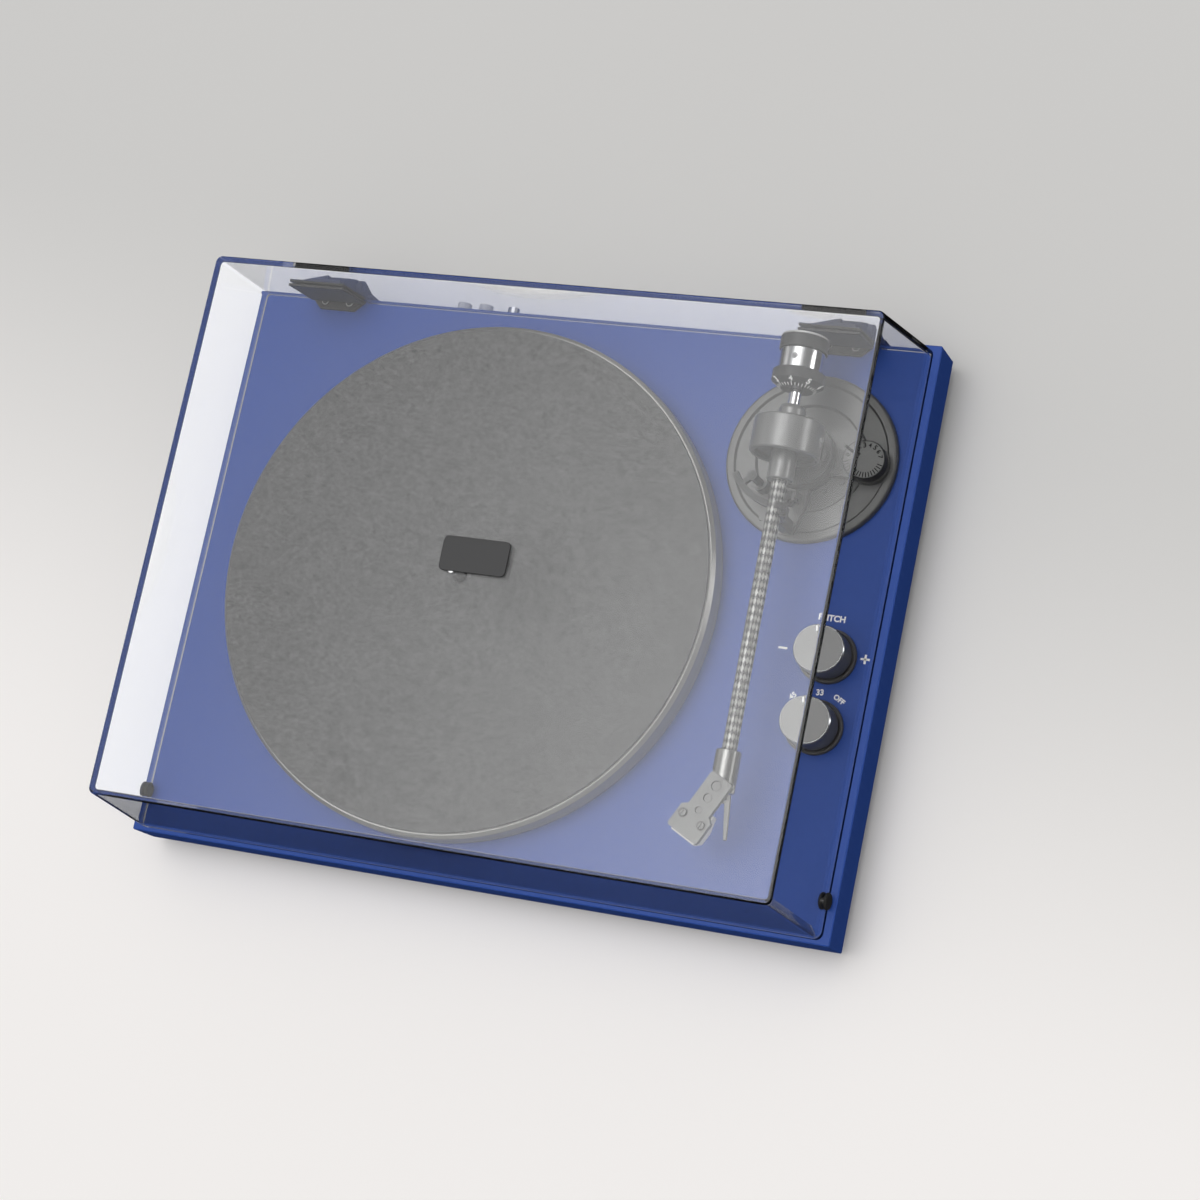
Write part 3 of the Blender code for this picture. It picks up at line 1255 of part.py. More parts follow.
def make_arm():
    """Carrier, carbon tube and headshell collar along the arm's axis."""
    half = CARRIER_DISC_LENGTH / 2
    edge = NECK_EDGE
    rounding = arc(
        (REAR_COLLAR_RADIUS - REAR_COLLAR_ROUND, REAR_COLLAR_END - REAR_COLLAR_ROUND),
        REAR_COLLAR_ROUND, pi / 2, 0, 3,
    )
    carrier = turned(
        "arm_carrier",
        [(0, REAR_COLLAR_END)]
        + rounding
        + [
            (REAR_COLLAR_RADIUS, half),
            (CARRIER_DISC_RADIUS, half),
            (CARRIER_DISC_RADIUS, -half),
            (NECK_RADIUS, -half),
            (NECK_RADIUS, -NECK_FRONT + edge),
            (NECK_RADIUS - edge, -NECK_FRONT),
            (0, -NECK_FRONT),
        ],
        "cast_grey",
        LIFT_AXIS,
        turn=ALONG_BACK,
    )
    seat = TUBE_RADIUS + CLEARANCE
    seat_end = -NECK_FRONT + TUBE_SEAT + CLEARANCE
    cut(carrier, rod("cut_tube_seat", seat, -NECK_FRONT - OVERRUN, seat_end, None, LIFT_AXIS, turn=ALONG_BACK))
    seat = WEIGHT_SHAFT_RADIUS + CLEARANCE
    low = WEIGHT_SHAFT_SEAT - CLEARANCE
    cut(carrier, rod("cut_shaft_seat", seat, low, REAR_COLLAR_END + OVERRUN, None, LIFT_AXIS, turn=ALONG_BACK))
    cup = CARRIER_DISC_RADIUS - PIVOT_CUP_DEPTH
    cup_radius = PIVOT_CUP_DEPTH
    for side, turn_y in (("left", radians(-90)), ("right", radians(90))):
        cone = turned(
            f"cut_{side}_cup",
            [
                (0, CARRIER_DISC_RADIUS + OVERRUN),
                (cup_radius + OVERRUN, CARRIER_DISC_RADIUS + OVERRUN),
                (0, cup),
            ],
            None,
            LIFT_AXIS,
            turn=(0, turn_y, 0),
            steps=SMALL_STEPS,
        )
        cut(carrier, cone)
    inner = TUBE_RADIUS - TUBE_WALL
    rear = -NECK_FRONT + TUBE_SEAT
    front = -TUBE_END - TUBE_SEAT / 2
    turned(
        "arm_tube",
        [(inner, rear), (TUBE_RADIUS, rear), (TUBE_RADIUS, front), (inner, front)],
        "carbon_weave",
        LIFT_AXIS,
        turn=ALONG_BACK,
        steps=SMALL_STEPS + SMALL_STEPS // 2,
    )
    edge = HEAD_COLLAR_EDGE
    collar = turned(
        "headshell_collar",
        [
            (0, -TUBE_END),
            (HEAD_COLLAR_RADIUS - edge, -TUBE_END),
            (HEAD_COLLAR_RADIUS, -TUBE_END - edge),
            (HEAD_COLLAR_RADIUS, -HEAD_COLLAR_END + edge),
            (HEAD_COLLAR_RADIUS - edge, -HEAD_COLLAR_END),
            (0, -HEAD_COLLAR_END),
        ],
        "cast_grey",
        LIFT_AXIS,
        turn=ALONG_BACK,
    )
    seat = TUBE_RADIUS + CLEARANCE
    cut(collar, rod("cut_collar_rear", seat, front - CLEARANCE, -TUBE_END + OVERRUN, None, LIFT_AXIS, turn=ALONG_BACK))
    seat = HEAD_BOSS_RADIUS + CLEARANCE
    low = -HEAD_COLLAR_END - OVERRUN
    cut(collar, rod("cut_collar_front", seat, low, front, None, LIFT_AXIS, turn=ALONG_BACK))
    notch = [(-HEAD_REAR - CLEARANCE, -HEAD_COLLAR_RADIUS * 2), (HEAD_FRONT, -HEAD_COLLAR_RADIUS * 2)]
    notch += [(HEAD_FRONT, HEAD_COLLAR_RADIUS * 2), (-HEAD_REAR - CLEARANCE, HEAD_COLLAR_RADIUS * 2)]
    bottom = HEAD_TOP - HEAD_THICKNESS - CLEARANCE
    cut(collar, extruded("cut_collar_notch", notch, bottom, HEAD_COLLAR_RADIUS * 2, None, HEAD_FRAME))
    end = WEIGHT_SHAFT_END
    turned(
        "weight_shaft",
        [
            (0, end),
            (WEIGHT_SHAFT_RADIUS, end),
            (WEIGHT_SHAFT_RADIUS, WEIGHT_SHAFT_SEAT),
            (0, WEIGHT_SHAFT_SEAT),
        ],
        "polished_steel",
        LIFT_AXIS,
        turn=ALONG_BACK,
        steps=SMALL_STEPS,
    )


def make_headshell():
    """The offset plate with its ring marks and two screws, the finger lift, cartridge and stylus."""
    neck = HEAD_NECK_HALF
    half = HEAD_HALF
    corner = HEAD_CORNER
    side = [
        (-HEAD_REAR, neck - corner),
        (-HEAD_REAR + corner, neck),
        (HEAD_NECK_END, neck),
        (HEAD_SHOULDER, half),
        (HEAD_FRONT - corner, half),
        (HEAD_FRONT, half - corner),
    ]
    outline = [(along, -across) for along, across in side]
    outline += [(along, across) for along, across in reversed(side)]
    bottom = HEAD_TOP - HEAD_THICKNESS
    plate = extruded("headshell", outline, bottom, HEAD_TOP, "headshell_grey", HEAD_FRAME)
    boss_front = -HEAD_COLLAR_END - HEAD_BOSS_FRONT
    boss = rod(
        "join_head_boss", HEAD_BOSS_RADIUS, boss_front, boss_front + HEAD_BOSS_LENGTH, None, LIFT_AXIS,
        turn=ALONG_BACK,
    )
    fuse(plate, boss)
    for index, (along, radius) in enumerate(zip(HEAD_MARK_PLACE_SHARES, HEAD_MARK_RADIUS_SHARES)):
        mark = rod(
            f"cut_head_mark_{index + 1}",
            radius * HEAD_NECK_HALF,
            HEAD_TOP - HEAD_MARK_DEPTH,
            HEAD_TOP + OVERRUN,
            None,
            HEAD_FRAME,
            (along * HEAD_FRONT, 0, 0),
        )
        cut(plate, mark)
    for sign in (-1, 1):
        place = (CARTRIDGE_SCREW_ALONG, sign * CARTRIDGE_SCREW_SPACING / 2, HEAD_TOP)
        name = f"join_cartridge_screw_{sign + 2}"
        fuse(plate, slotted_screw(name, CARTRIDGE_SCREW_RADIUS, CARTRIDGE_SCREW_HEIGHT, SCREW_SLOT, HEAD_FRAME, place))
    make_finger_lift(bottom)
    make_cartridge(bottom)


def make_finger_lift(plate_bottom):
    """A slim tapered bar beside the headshell, with a tab under the plate."""
    rear = Vector((FINGER_REAR_RIGHT, -FINGER_REAR_REACH))
    front = Vector((FINGER_FRONT_RIGHT, -FINGER_FRONT_REACH))
    along = (front - rear).normalized()
    across = Vector((-along.y, along.x))
    if across.x < 0:
        across = -across
    outline = [
        rear - across * (FINGER_REAR_HALF + FINGER_TAB),
        rear - across * (FINGER_REAR_HALF + FINGER_TAB) + along * FINGER_TAB,
        rear - across * FINGER_REAR_HALF + along * FINGER_TAB,
        front - across * FINGER_FRONT_HALF,
        front + across * FINGER_FRONT_HALF,
        rear + across * FINGER_REAR_HALF + along * FINGER_TAB,
        rear + across * FINGER_REAR_HALF,
    ]
    top = plate_bottom - CLEARANCE
    finger = extruded(
        "finger_lift", [tuple(point) for point in outline], top - FINGER_THICKNESS, top, "headshell_grey", LIFT_AXIS
    )
    clear = HEAD_COLLAR_RADIUS + CLEARANCE
    end = -HEAD_COLLAR_END - CLEARANCE
    cut(finger, rod("cut_finger_collar", clear, end, -TUBE_END, None, LIFT_AXIS, turn=ALONG_BACK))
    clear = HEAD_BOSS_RADIUS + CLEARANCE
    end -= HEAD_BOSS_FRONT + CLEARANCE
    cut(finger, rod("cut_finger_boss", clear, end, -TUBE_END, None, LIFT_AXIS, turn=ALONG_BACK))


def make_cartridge(plate_bottom):
    """The cartridge block with a sloped nose, and the stylus piece under it."""
    top = plate_bottom - CLEARANCE
    low = top - CARTRIDGE_HEIGHT
    side = [
        (CARTRIDGE_REAR, top),
        (CARTRIDGE_FRONT, top),
        (CARTRIDGE_FRONT, top - CARTRIDGE_NOSE / 2),
        (CARTRIDGE_FRONT - CARTRIDGE_NOSE / 2, low),
        (CARTRIDGE_REAR + CARTRIDGE_TAPER, low),
        (CARTRIDGE_REAR, top - CARTRIDGE_NOSE),
    ]
    extruded(
        "cartridge", side, -CARTRIDGE_HALF, CARTRIDGE_HALF, "white_plastic", HEAD_FRAME, (0, 0, 0), (radians(90), 0, 0)
    )
    stylus_top = low - CLEARANCE
    stylus_low = stylus_top - STYLUS_HEIGHT
    nose = STYLUS_FRONT
    side = [
        (STYLUS_REAR, stylus_top),
        (nose, stylus_top),
        (nose, stylus_top - STYLUS_HEIGHT / 2),
        (nose - STYLUS_HEIGHT, stylus_low),
        (STYLUS_REAR, stylus_low),
    ]
    stylus = extruded(
        "stylus", side, -STYLUS_HALF, STYLUS_HALF, "satin_black", HEAD_FRAME, (0, 0, 0), (radians(90), 0, 0)
    )
    root = (nose - STYLUS_HEIGHT, 0, stylus_low + STYLUS_HEIGHT / 2)
    tip = (nose + CANTILEVER_LENGTH / 2, 0, stylus_low - CANTILEVER_DROP)
    diamond = (tip[0], 0, tip[2] - CANTILEVER_RADIUS * 2)
    fuse(stylus, wire("join_cantilever", [root, tip, diamond], CANTILEVER_RADIUS, None, HEAD_FRAME, 1))


def make_counterweight():
    """Sleeve on the shaft, polished weight with its set-screw hole, matte cap and loose scale ring."""
    bore = WEIGHT_SHAFT_RADIUS + CLEARANCE
    hub_front = SCALE_FRONT + SCALE_CONE + CLEARANCE
    sleeve_front = SCALE_BACK - SLEEVE_LENGTH / 4
    sleeve_back = sleeve_front + SLEEVE_LENGTH
    turned(
        "weight_sleeve",
        [(bore, sleeve_back), (SLEEVE_RADIUS, sleeve_back), (SLEEVE_RADIUS, sleeve_front), (bore, sleeve_front)],
        "black_rubber",
        SLIDE_AXIS,
        turn=ALONG_BACK,
        steps=SMALL_STEPS,
    )
    inner = SLEEVE_RADIUS + CLEARANCE
    front = SCALE_BACK + CLEARANCE
    weight = turned(
        "counterweight",
        [
            (inner, WEIGHT_BACK),
            (WEIGHT_RADIUS, WEIGHT_BACK),
            (WEIGHT_RADIUS, front),
            (HUB_RADIUS, front),
            (HUB_RADIUS, hub_front),
            (inner, hub_front),
        ],
        "polished_steel",
        WEIGHT_AXIS,
        turn=ALONG_BACK,
        steps=ROUND_STEPS + SMALL_STEPS,
    )
    low = WEIGHT_RADIUS - WEIGHT_HOLE_DEPTH
    middle = (front + WEIGHT_BACK) / 2
    hole = rod("cut_set_screw", WEIGHT_HOLE_RADIUS, low, WEIGHT_RADIUS + OVERRUN, None, WEIGHT_AXIS, (0, middle, 0))
    cut(weight, hole)
    cap_front = WEIGHT_BACK + CLEARANCE
    edge = CAP_EDGE
    cap = turned(
        "weight_cap",
        [
            (0, CAP_BACK + CAP_BOSS_LENGTH),
            (CAP_BOSS_RADIUS, CAP_BACK + CAP_BOSS_LENGTH),
            (CAP_BOSS_RADIUS, CAP_BACK),
            (CAP_RADIUS - edge, CAP_BACK),
            (CAP_RADIUS, CAP_BACK - edge),
            (CAP_RADIUS, cap_front),
            (0, cap_front),
        ],
        "dark_plastic",
        WEIGHT_AXIS,
        turn=ALONG_BACK,
    )
    room = WEIGHT_TRAVEL_FORWARD + CLEARANCE + WEIGHT_SHAFT_END
    pocket = rod("cut_cap_pocket", bore, cap_front - OVERRUN, room, None, WEIGHT_AXIS, turn=ALONG_BACK)
    cut(cap, pocket)
    hub = HUB_RADIUS + CLEARANCE
    cone_back = SCALE_FRONT + SCALE_CONE
    turned(
        "scale_ring",
        [
            (hub, SCALE_BACK),
            (SCALE_RADIUS - SCALE_EDGE, SCALE_BACK),
            (SCALE_RADIUS, SCALE_BACK - SCALE_EDGE),
            (SCALE_RADIUS, cone_back),
            (SCALE_FACE_RADIUS, SCALE_FRONT),
            (bore + CLEARANCE, SCALE_FRONT),
            (bore + CLEARANCE, cone_back),
            (hub, cone_back),
        ],
        "satin_black",
        WEIGHT_AXIS,
        turn=ALONG_BACK,
        steps=ROUND_STEPS + SMALL_STEPS,
    )


def cover_inset(top_inset, bottom_inset, height):
    """Inset of a drafted cover wall's outer face at a height above the plinth's top."""
    share = (height - COVER_BOTTOM) / (COVER_TOP - COVER_BOTTOM)
    return bottom_inset + (top_inset - bottom_inset) * share


def make_cover():
    """The clear cover: a drafted box open below, its wall thickened inwards, notched at the hinges."""
    bm = bmesh.new()
    bmesh.ops.create_cube(bm, size=1)
    for vert in bm.verts:
        high = vert.co.z > 0
        side = COVER_SIDE_TOP if high else COVER_SIDE_BOTTOM
        end = COVER_END_TOP if high else COVER_END_BOTTOM
        sign_x = 1 if vert.co.x > 0 else -1
        sign_y = 1 if vert.co.y > 0 else -1
        vert.co.x = sign_x * (PLINTH_WIDTH / 2 - side)
        vert.co.y = sign_y * (PLINTH_DEPTH / 2 - end)
        vert.co.z = COVER_TOP if high else COVER_BOTTOM
    bm.normal_update()
    below = [face for face in bm.faces if all(vert.co.z < COVER_TOP / 2 for vert in face.verts)]
    bmesh.ops.delete(bm, geom=below, context="FACES_ONLY")
    upright = [edge for edge in bm.edges if abs(edge.verts[0].co.z - edge.verts[1].co.z) > COVER_WALL]
    bmesh.ops.bevel(
        bm, geom=upright, offset=COVER_CORNER, segments=4, profile=0.5, affect="EDGES", clamp_overlap=True
    )
    top = [edge for edge in bm.edges if all(abs(vert.co.z - COVER_TOP) < MERGE for vert in edge.verts)]
    top = [edge for edge in top if len(edge.link_faces) == 2 and edge.calc_face_angle() > radians(20)]
    bmesh.ops.bevel(bm, geom=top, offset=COVER_EDGE, segments=2, profile=0.5, affect="EDGES", clamp_overlap=True)
    bmesh.ops.recalc_face_normals(bm, faces=bm.faces)
    mesh = bpy.data.meshes.new("dust_cover")
    bm.to_mesh(mesh)
    bm.free()
    cover = as_piece("dust_cover", mesh, "clear_acrylic", COVER_AXIS, (0, -HINGE_PIN_Y, -HINGE_PIN_Z))
    wall = cover.modifiers.new("wall", "SOLIDIFY")
    wall.thickness = COVER_WALL
    wall.offset = -1
    wall.use_even_offset = True
    for sign, name in ((-1, "left"), (1, "right")):
        middle = sign * HINGE_X
        notch = block(
            f"cut_{name}_notch",
            (middle - HINGE_FOOT_HALF - CLEARANCE, PLINTH_BACK / 2 - HINGE_PIN_Y, COVER_BOTTOM - OVERRUN - HINGE_PIN_Z),
            (middle + CLIP_RIGHT + CLEARANCE, OVERRUN, CLIP_WEB_TOP - HINGE_PIN_Z),
            None,
            COVER_AXIS,
        )
        cut(cover, notch)
        make_bumper(cover, sign, name)
    top = COVER_TOP + CLEARANCE
    plate = rounded_rectangle(COVER_PLATE_WIDTH, COVER_PLATE_DEPTH, COVER_PLATE_CORNER)
    extruded(
        "cover_plate", plate, top, top + COVER_PLATE_THICKNESS, "dark_plastic", COVER_AXIS,
        (0, COVER_PLATE_Y - HINGE_PIN_Y, -HINGE_PIN_Z),
    )


def make_bumper(cover, sign, name):
    """A rubber spool through the cover's side wall, square to the wall's draft."""
    inset = cover_inset(COVER_SIDE_TOP, COVER_SIDE_BOTTOM, BUMPER_Z)
    draft = atan2(COVER_SLOPE_SIDE, 1)
    middle = sign * (PLINTH_WIDTH / 2 - inset - COVER_WALL / 2 / cos(draft))
    place = (middle, BUMPER_Y - HINGE_PIN_Y, BUMPER_Z - HINGE_PIN_Z)
    turn = (0, sign * (radians(90) - draft), 0)
    half = COVER_WALL / 2 + CLEARANCE
    edge = BUMPER_DISC / 3
    turned(
        f"bumper_{name}",
        [
            (0, half + BUMPER_DISC),
            (BUMPER_RADIUS - edge, half + BUMPER_DISC),
            (BUMPER_RADIUS, half + BUMPER_DISC - edge),
            (BUMPER_RADIUS, half),
            (BUMPER_NECK_RADIUS, half),
            (BUMPER_NECK_RADIUS, -half),
            (BUMPER_RADIUS, -half),
            (BUMPER_RADIUS, -half - BUMPER_DISC + edge),
            (BUMPER_RADIUS - edge, -half - BUMPER_DISC),
            (0, -half - BUMPER_DISC),
        ],
        "black_rubber",
        COVER_AXIS,
        place,
        turn,
        steps=SMALL_STEPS,
    )
    hole = BUMPER_NECK_RADIUS + CLEARANCE
    cut(cover, rod(f"cut_{name}_bumper", hole, -half * 2, half * 2, None, COVER_AXIS, place, turn))


def yz_piece(name, outline, low_x, high_x, finish, parent, place=(0, 0, 0)):
    """A (y, z) outline drawn from the side and run across from low_x to high_x."""
    flat = [(y, z) for y, z in outline]
    return extruded(name, flat, low_x, high_x, finish, parent, place, (radians(90), 0, radians(90)))


def make_hinge(sign, name):
    """One hinge: bracket on the plinth, pin, and the clip that grips the cover's rear wall."""
    middle = sign * HINGE_X
    thick = HINGE_PLATE_THICKNESS
    front = PLINTH_BACK - HINGE_FOOT_REACH
    back = PLINTH_BACK + CLEARANCE + thick
    foot_outline = [
        (-HINGE_FOOT_HALF + HINGE_FOOT_CHAMFER, front),
        (HINGE_FOOT_HALF - HINGE_FOOT_CHAMFER, front),
        (HINGE_FOOT_HALF, front + HINGE_FOOT_CHAMFER),
        (HINGE_FOOT_HALF, back),
        (-HINGE_FOOT_HALF, back),
        (-HINGE_FOOT_HALF, front + HINGE_FOOT_CHAMFER),
    ]
    bracket = extruded(
        f"hinge_base_{name}", foot_outline, CLEARANCE, CLEARANCE + thick, "dark_plastic", DECK, (middle, 0, 0)
    )
    right = HINGE_ARM_RIGHT + CLEARANCE + HINGE_EAR_WIDTH
    back_plate = block(
        f"join_{name}_back",
        (middle - HINGE_FOOT_HALF, PLINTH_BACK + CLEARANCE, -HINGE_BACK_DROP),
        (middle + right + HINGE_EAR_WIDTH, back, CLEARANCE + thick),
        None,
        DECK,
    )
    fuse(bracket, back_plate)
    ear_front = PLINTH_BACK + CLEARANCE - HINGE_PIN_Y
    ear_low = CLEARANCE - HINGE_PIN_Z
    ear = arc((0, 0), HINGE_EAR_RADIUS, -pi / 6, pi, SMALL_STEPS // 2 + 2)
    ear += [(ear_front, -HINGE_EAR_RADIUS), (ear_front, ear_low - HINGE_EAR_RADIUS)]
    ear += [(ear_front + thick, ear_low - HINGE_EAR_RADIUS * 2)]
    left = HINGE_ARM_LEFT - CLEARANCE - HINGE_EAR_WIDTH
    place = (middle, HINGE_PIN_Y, HINGE_PIN_Z)
    pin_left = left - CLEARANCE
    for ear_name, low in (("outer", left), ("inner", HINGE_ARM_RIGHT + CLEARANCE)):
        high = low + HINGE_EAR_WIDTH
        fuse(bracket, yz_piece(f"join_{name}_{ear_name}_ear", ear, low, high, None, DECK, place))
    bore = HINGE_PIN_RADIUS + CLEARANCE
    reach = right + OVERRUN
    cut(bracket, rod(f"cut_{name}_ear_bore", bore, pin_left - OVERRUN, reach, None, DECK, place, ALONG_RIGHT))
    rod(f"hinge_pin_{name}", HINGE_PIN_RADIUS, left, right, "polished_steel", DECK, place, ALONG_RIGHT)
    for index, offset in enumerate((-HINGE_SCREW_SPACING / 2, HINGE_SCREW_SPACING / 2)):
        place = (middle + offset, PLINTH_BACK - HINGE_SCREW_INSET, CLEARANCE + thick)
        screw = f"join_{name}_foot_screw_{index + 1}"
        fuse(bracket, slotted_screw(screw, SCREW_HEAD_RADIUS, SCREW_HEAD_HEIGHT, SCREW_SLOT, DECK, place))
    make_hinge_clip(middle, name)


def wall_face(height):
    """Y of the cover's rear wall, outer face, at a height above the plinth's top."""
    return PLINTH_BACK - cover_inset(COVER_END_TOP, COVER_END_BOTTOM, height)


def make_hinge_clip(middle, name):
    """Two lips that grip the wall, a web under it, a tapered wing and the arm to the pin."""
    across = COVER_WALL / cos(atan2(COVER_SLOPE_END, 1))
    gap = CLEARANCE
    low = CLIP_WEB_BOTTOM
    top = CLIP_FRONT_TOP
    front_low = wall_face(CLIP_WEB_BOTTOM) - across - gap
    front_top = wall_face(top) - across - gap
    back_low = wall_face(low) + gap
    back_top = wall_face(top) + gap
    inner_web = wall_face(CLIP_WEB_TOP)
    outline = [
        (front_low - CLIP_LIP, low),
        (back_low + CLIP_LIP, low),
        (back_top + CLIP_LIP, top),
        (back_top, top),
        (inner_web + gap, CLIP_WEB_TOP),
        (inner_web - across - gap, CLIP_WEB_TOP),
        (front_top, top),
        (front_top - CLIP_LIP, top),
    ]
    shift = (middle, -HINGE_PIN_Y, -HINGE_PIN_Z)
    clip = yz_piece(f"hinge_clip_{name}", outline, CLIP_LEFT, CLIP_RIGHT, "dark_plastic", COVER_AXIS, shift)
    knuckle = HINGE_KNUCKLE_RADIUS
    lean = CLIP_LIP / 2
    arm = [
        (wall_face(CLIP_BLOCK_TOP) + gap + lean, CLIP_BLOCK_TOP),
        (wall_face(low) + gap + lean, low + gap),
        (HINGE_PIN_Y - knuckle, low + gap),
    ]
    arm += arc((HINGE_PIN_Y, HINGE_PIN_Z), knuckle, radians(225), radians(360), SMALL_STEPS // 2)
    arm += [
        (HINGE_PIN_Y + knuckle, HINGE_PIN_Z + knuckle),
        (wall_face(CLIP_BLOCK_TOP) + CLIP_BLOCK_DEPTH, CLIP_BLOCK_TOP - CLIP_BLOCK_DEPTH),
        (wall_face(CLIP_BLOCK_TOP) + CLIP_BLOCK_DEPTH / 2, CLIP_BLOCK_TOP),
    ]
    block_piece = yz_piece(f"join_{name}_arm", arm, HINGE_ARM_LEFT, HINGE_ARM_RIGHT, None, COVER_AXIS, shift)
    fuse(clip, block_piece)
    wing_low = CLIP_BLOCK_TOP - CLIP_WING_HEIGHT
    wing_front = wall_face(CLIP_BLOCK_TOP - CLIP_WING_HEIGHT / 2) + gap + lean
    wing = extruded(
        f"join_{name}_wing",
        [
            (CLIP_LEFT + gap, wing_front),
            (HINGE_ARM_LEFT + OVERRUN, wing_front),
            (HINGE_ARM_LEFT + OVERRUN, wing_front + CLIP_WING_DEPTH),
        ],
        wing_low,
        CLIP_BLOCK_TOP - gap,
        None,
        COVER_AXIS,
        shift,
    )
    fuse(clip, wing)
    bore = HINGE_PIN_RADIUS + CLEARANCE
    reach = (HINGE_ARM_LEFT - OVERRUN, HINGE_ARM_RIGHT + OVERRUN)
    cut(clip, rod(f"cut_{name}_arm_bore", bore, *reach, None, COVER_AXIS, (middle, 0, 0), ALONG_RIGHT))


def make_sockets():
    """The rear panel with two phono jacks, the ground post and the power inlet."""
    half = SOCKET_PANEL_WIDTH / 2
    face = PLINTH_BACK - SOCKET_POCKET_DEPTH + CLEARANCE + SOCKET_PANEL_THICKNESS
    panel = block(
        "socket_panel",
        (SOCKET_X - half, face - SOCKET_PANEL_THICKNESS, SOCKET_Z - SOCKET_PANEL_HEIGHT / 2),
        (SOCKET_X + half, face, SOCKET_Z + SOCKET_PANEL_HEIGHT / 2),
        "satin_black",
        DECK,
    )
    inlet = SOCKET_X + INLET_OFFSET
    window = block(
        "cut_inlet_window",
        (inlet - INLET_HALF - CLEARANCE, face - PLINTH_WALL, SOCKET_Z - INLET_HALF - CLEARANCE),
        (inlet + INLET_HALF + CLEARANCE, face + OVERRUN, SOCKET_Z + INLET_HALF + CLEARANCE),
        None,
        DECK,
    )
    cut(panel, window)
    for side, offset in (("left", JACK_OFFSET), ("right", JACK_OFFSET + JACK_SPACING)):
        place = (SOCKET_X + offset, face + CLEARANCE, SOCKET_Z)
        turned(
            f"phono_jack_{side}",
            [
                (JACK_BORE, JACK_REACH),
                (JACK_RADIUS, JACK_REACH),
                (JACK_RADIUS, JACK_COLLAR_LENGTH),
                (JACK_COLLAR_RADIUS, JACK_COLLAR_LENGTH),
                (JACK_COLLAR_RADIUS, 0),
                (JACK_BORE, 0),
            ],
            "brass",
            DECK,
            place,
            ALONG_BACK,
            steps=SMALL_STEPS,
        )
    turned(
        "ground_post",
        [
            (0, GROUND_REACH),
            (GROUND_RADIUS, GROUND_REACH),
            (GROUND_RADIUS, GROUND_NECK_LENGTH),
            (GROUND_NECK_RADIUS, GROUND_NECK_LENGTH),
            (GROUND_NECK_RADIUS, 0),
            (0, 0),
        ],
        "polished_steel",
        DECK,
        (SOCKET_X + GROUND_OFFSET, face + CLEARANCE, SOCKET_Z),
        ALONG_BACK,
        steps=SMALL_STEPS,
    )
    back = face + INLET_FACE
    power = block(
        "power_inlet",
        (inlet - INLET_HALF, back - INLET_DEPTH, SOCKET_Z - INLET_HALF),
        (inlet + INLET_HALF, back, SOCKET_Z + INLET_HALF),
        "satin_black",
        DECK,
    )
    well = turned(
        "cut_inlet_well",
        [
            (INLET_PIN, OVERRUN),
            (INLET_BORE, OVERRUN),
            (INLET_BORE, -INLET_DEPTH * 2 / 3),
            (INLET_PIN, -INLET_DEPTH * 2 / 3),
        ],
        None,
        DECK,
        (inlet, back, SOCKET_Z),
        ALONG_BACK,
        steps=SMALL_STEPS,
    )
    cut(power, well)


clear_scene()
PARTS = new_collection("turntable")
CUTTERS = new_collection("turntable_cutters")
DECK = frame("deck", None, (0, PLINTH_Y, PLINTH_TOP_HEIGHT))
PLATTER_AXIS = frame("platter_axis", DECK, (PLATTER_X, PLATTER_Y, 0))
MOTOR_AXIS = frame(
    "motor_axis",
    DECK,
    (PLATTER_X + MOTOR_DISTANCE * cos(MOTOR_ANGLE), PLATTER_Y + MOTOR_DISTANCE * sin(MOTOR_ANGLE), 0),
)
PITCH_AXIS = frame("pitch_axis", DECK, (KNOB_X, PITCH_Y, 0))
SPEED_AXIS = frame("speed_axis", DECK, (KNOB_X, SPEED_Y, 0))
DIAL_AXIS = frame("dial_axis", DECK, (DIAL_X, DIAL_Y, 0))
ARM_AXIS = frame("arm_axis", DECK, (ARM_X, ARM_Y, ARM_HEIGHT))
ARM_AXIS.rotation_euler = (0, 0, ARM_REST_TURN)
LIFT_AXIS = frame("arm_lift_axis", ARM_AXIS, (0, 0, 0))
SLIDE_AXIS = frame("weight_slide_axis", LIFT_AXIS, (0, 0, 0))
WEIGHT_AXIS = frame("weight_axis", SLIDE_AXIS, (0, 0, 0))
HEAD_FRAME = frame("headshell_frame", LIFT_AXIS, (HEAD_ORIGIN_X, HEAD_ORIGIN_Y, 0))
HEAD_FRAME.rotation_euler = (0, 0, -pi / 2 - HEAD_OFFSET)
CLIP_AXIS = frame("clip_axis", DECK, (ARM_X + CLIP_RIGHT_OF_ARM, REST_Y, CLIP_Z))
LEVER_AXIS = frame("lever_axis", DECK, (LEVER_X, LEVER_Y, LEVER_Z))
COVER_AXIS = frame("cover_axis", DECK, (0, HINGE_PIN_Y, HINGE_PIN_Z))

make_plinth()
make_underside()
make_platter_set()
make_drive()
make_controls()
make_tonearm_base()
make_dial()
make_arm_rest()
make_arm_clip()
make_cue()
make_gimbal()
make_arm()
make_headshell()
make_counterweight()
make_cover()
make_hinge(-1, "left")
make_hinge(1, "right")
make_sockets()
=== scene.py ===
# %% [markdown]
# # A belt-drive turntable under its clear cover
# The solids come in as a fixed frame: every named piece at its true place, in metres. This lesson dresses
# them. Turned pieces get fine outlines that catch the light, the cover gets real walls, the deck gets its
# markings, and each surface gets a finish made of nodes.

# %% Frame and tools
import json
from math import atan2, cos, degrees, pi, radians, sin, sqrt

import bmesh
import bpy
from mathutils import Euler, Matrix, Vector


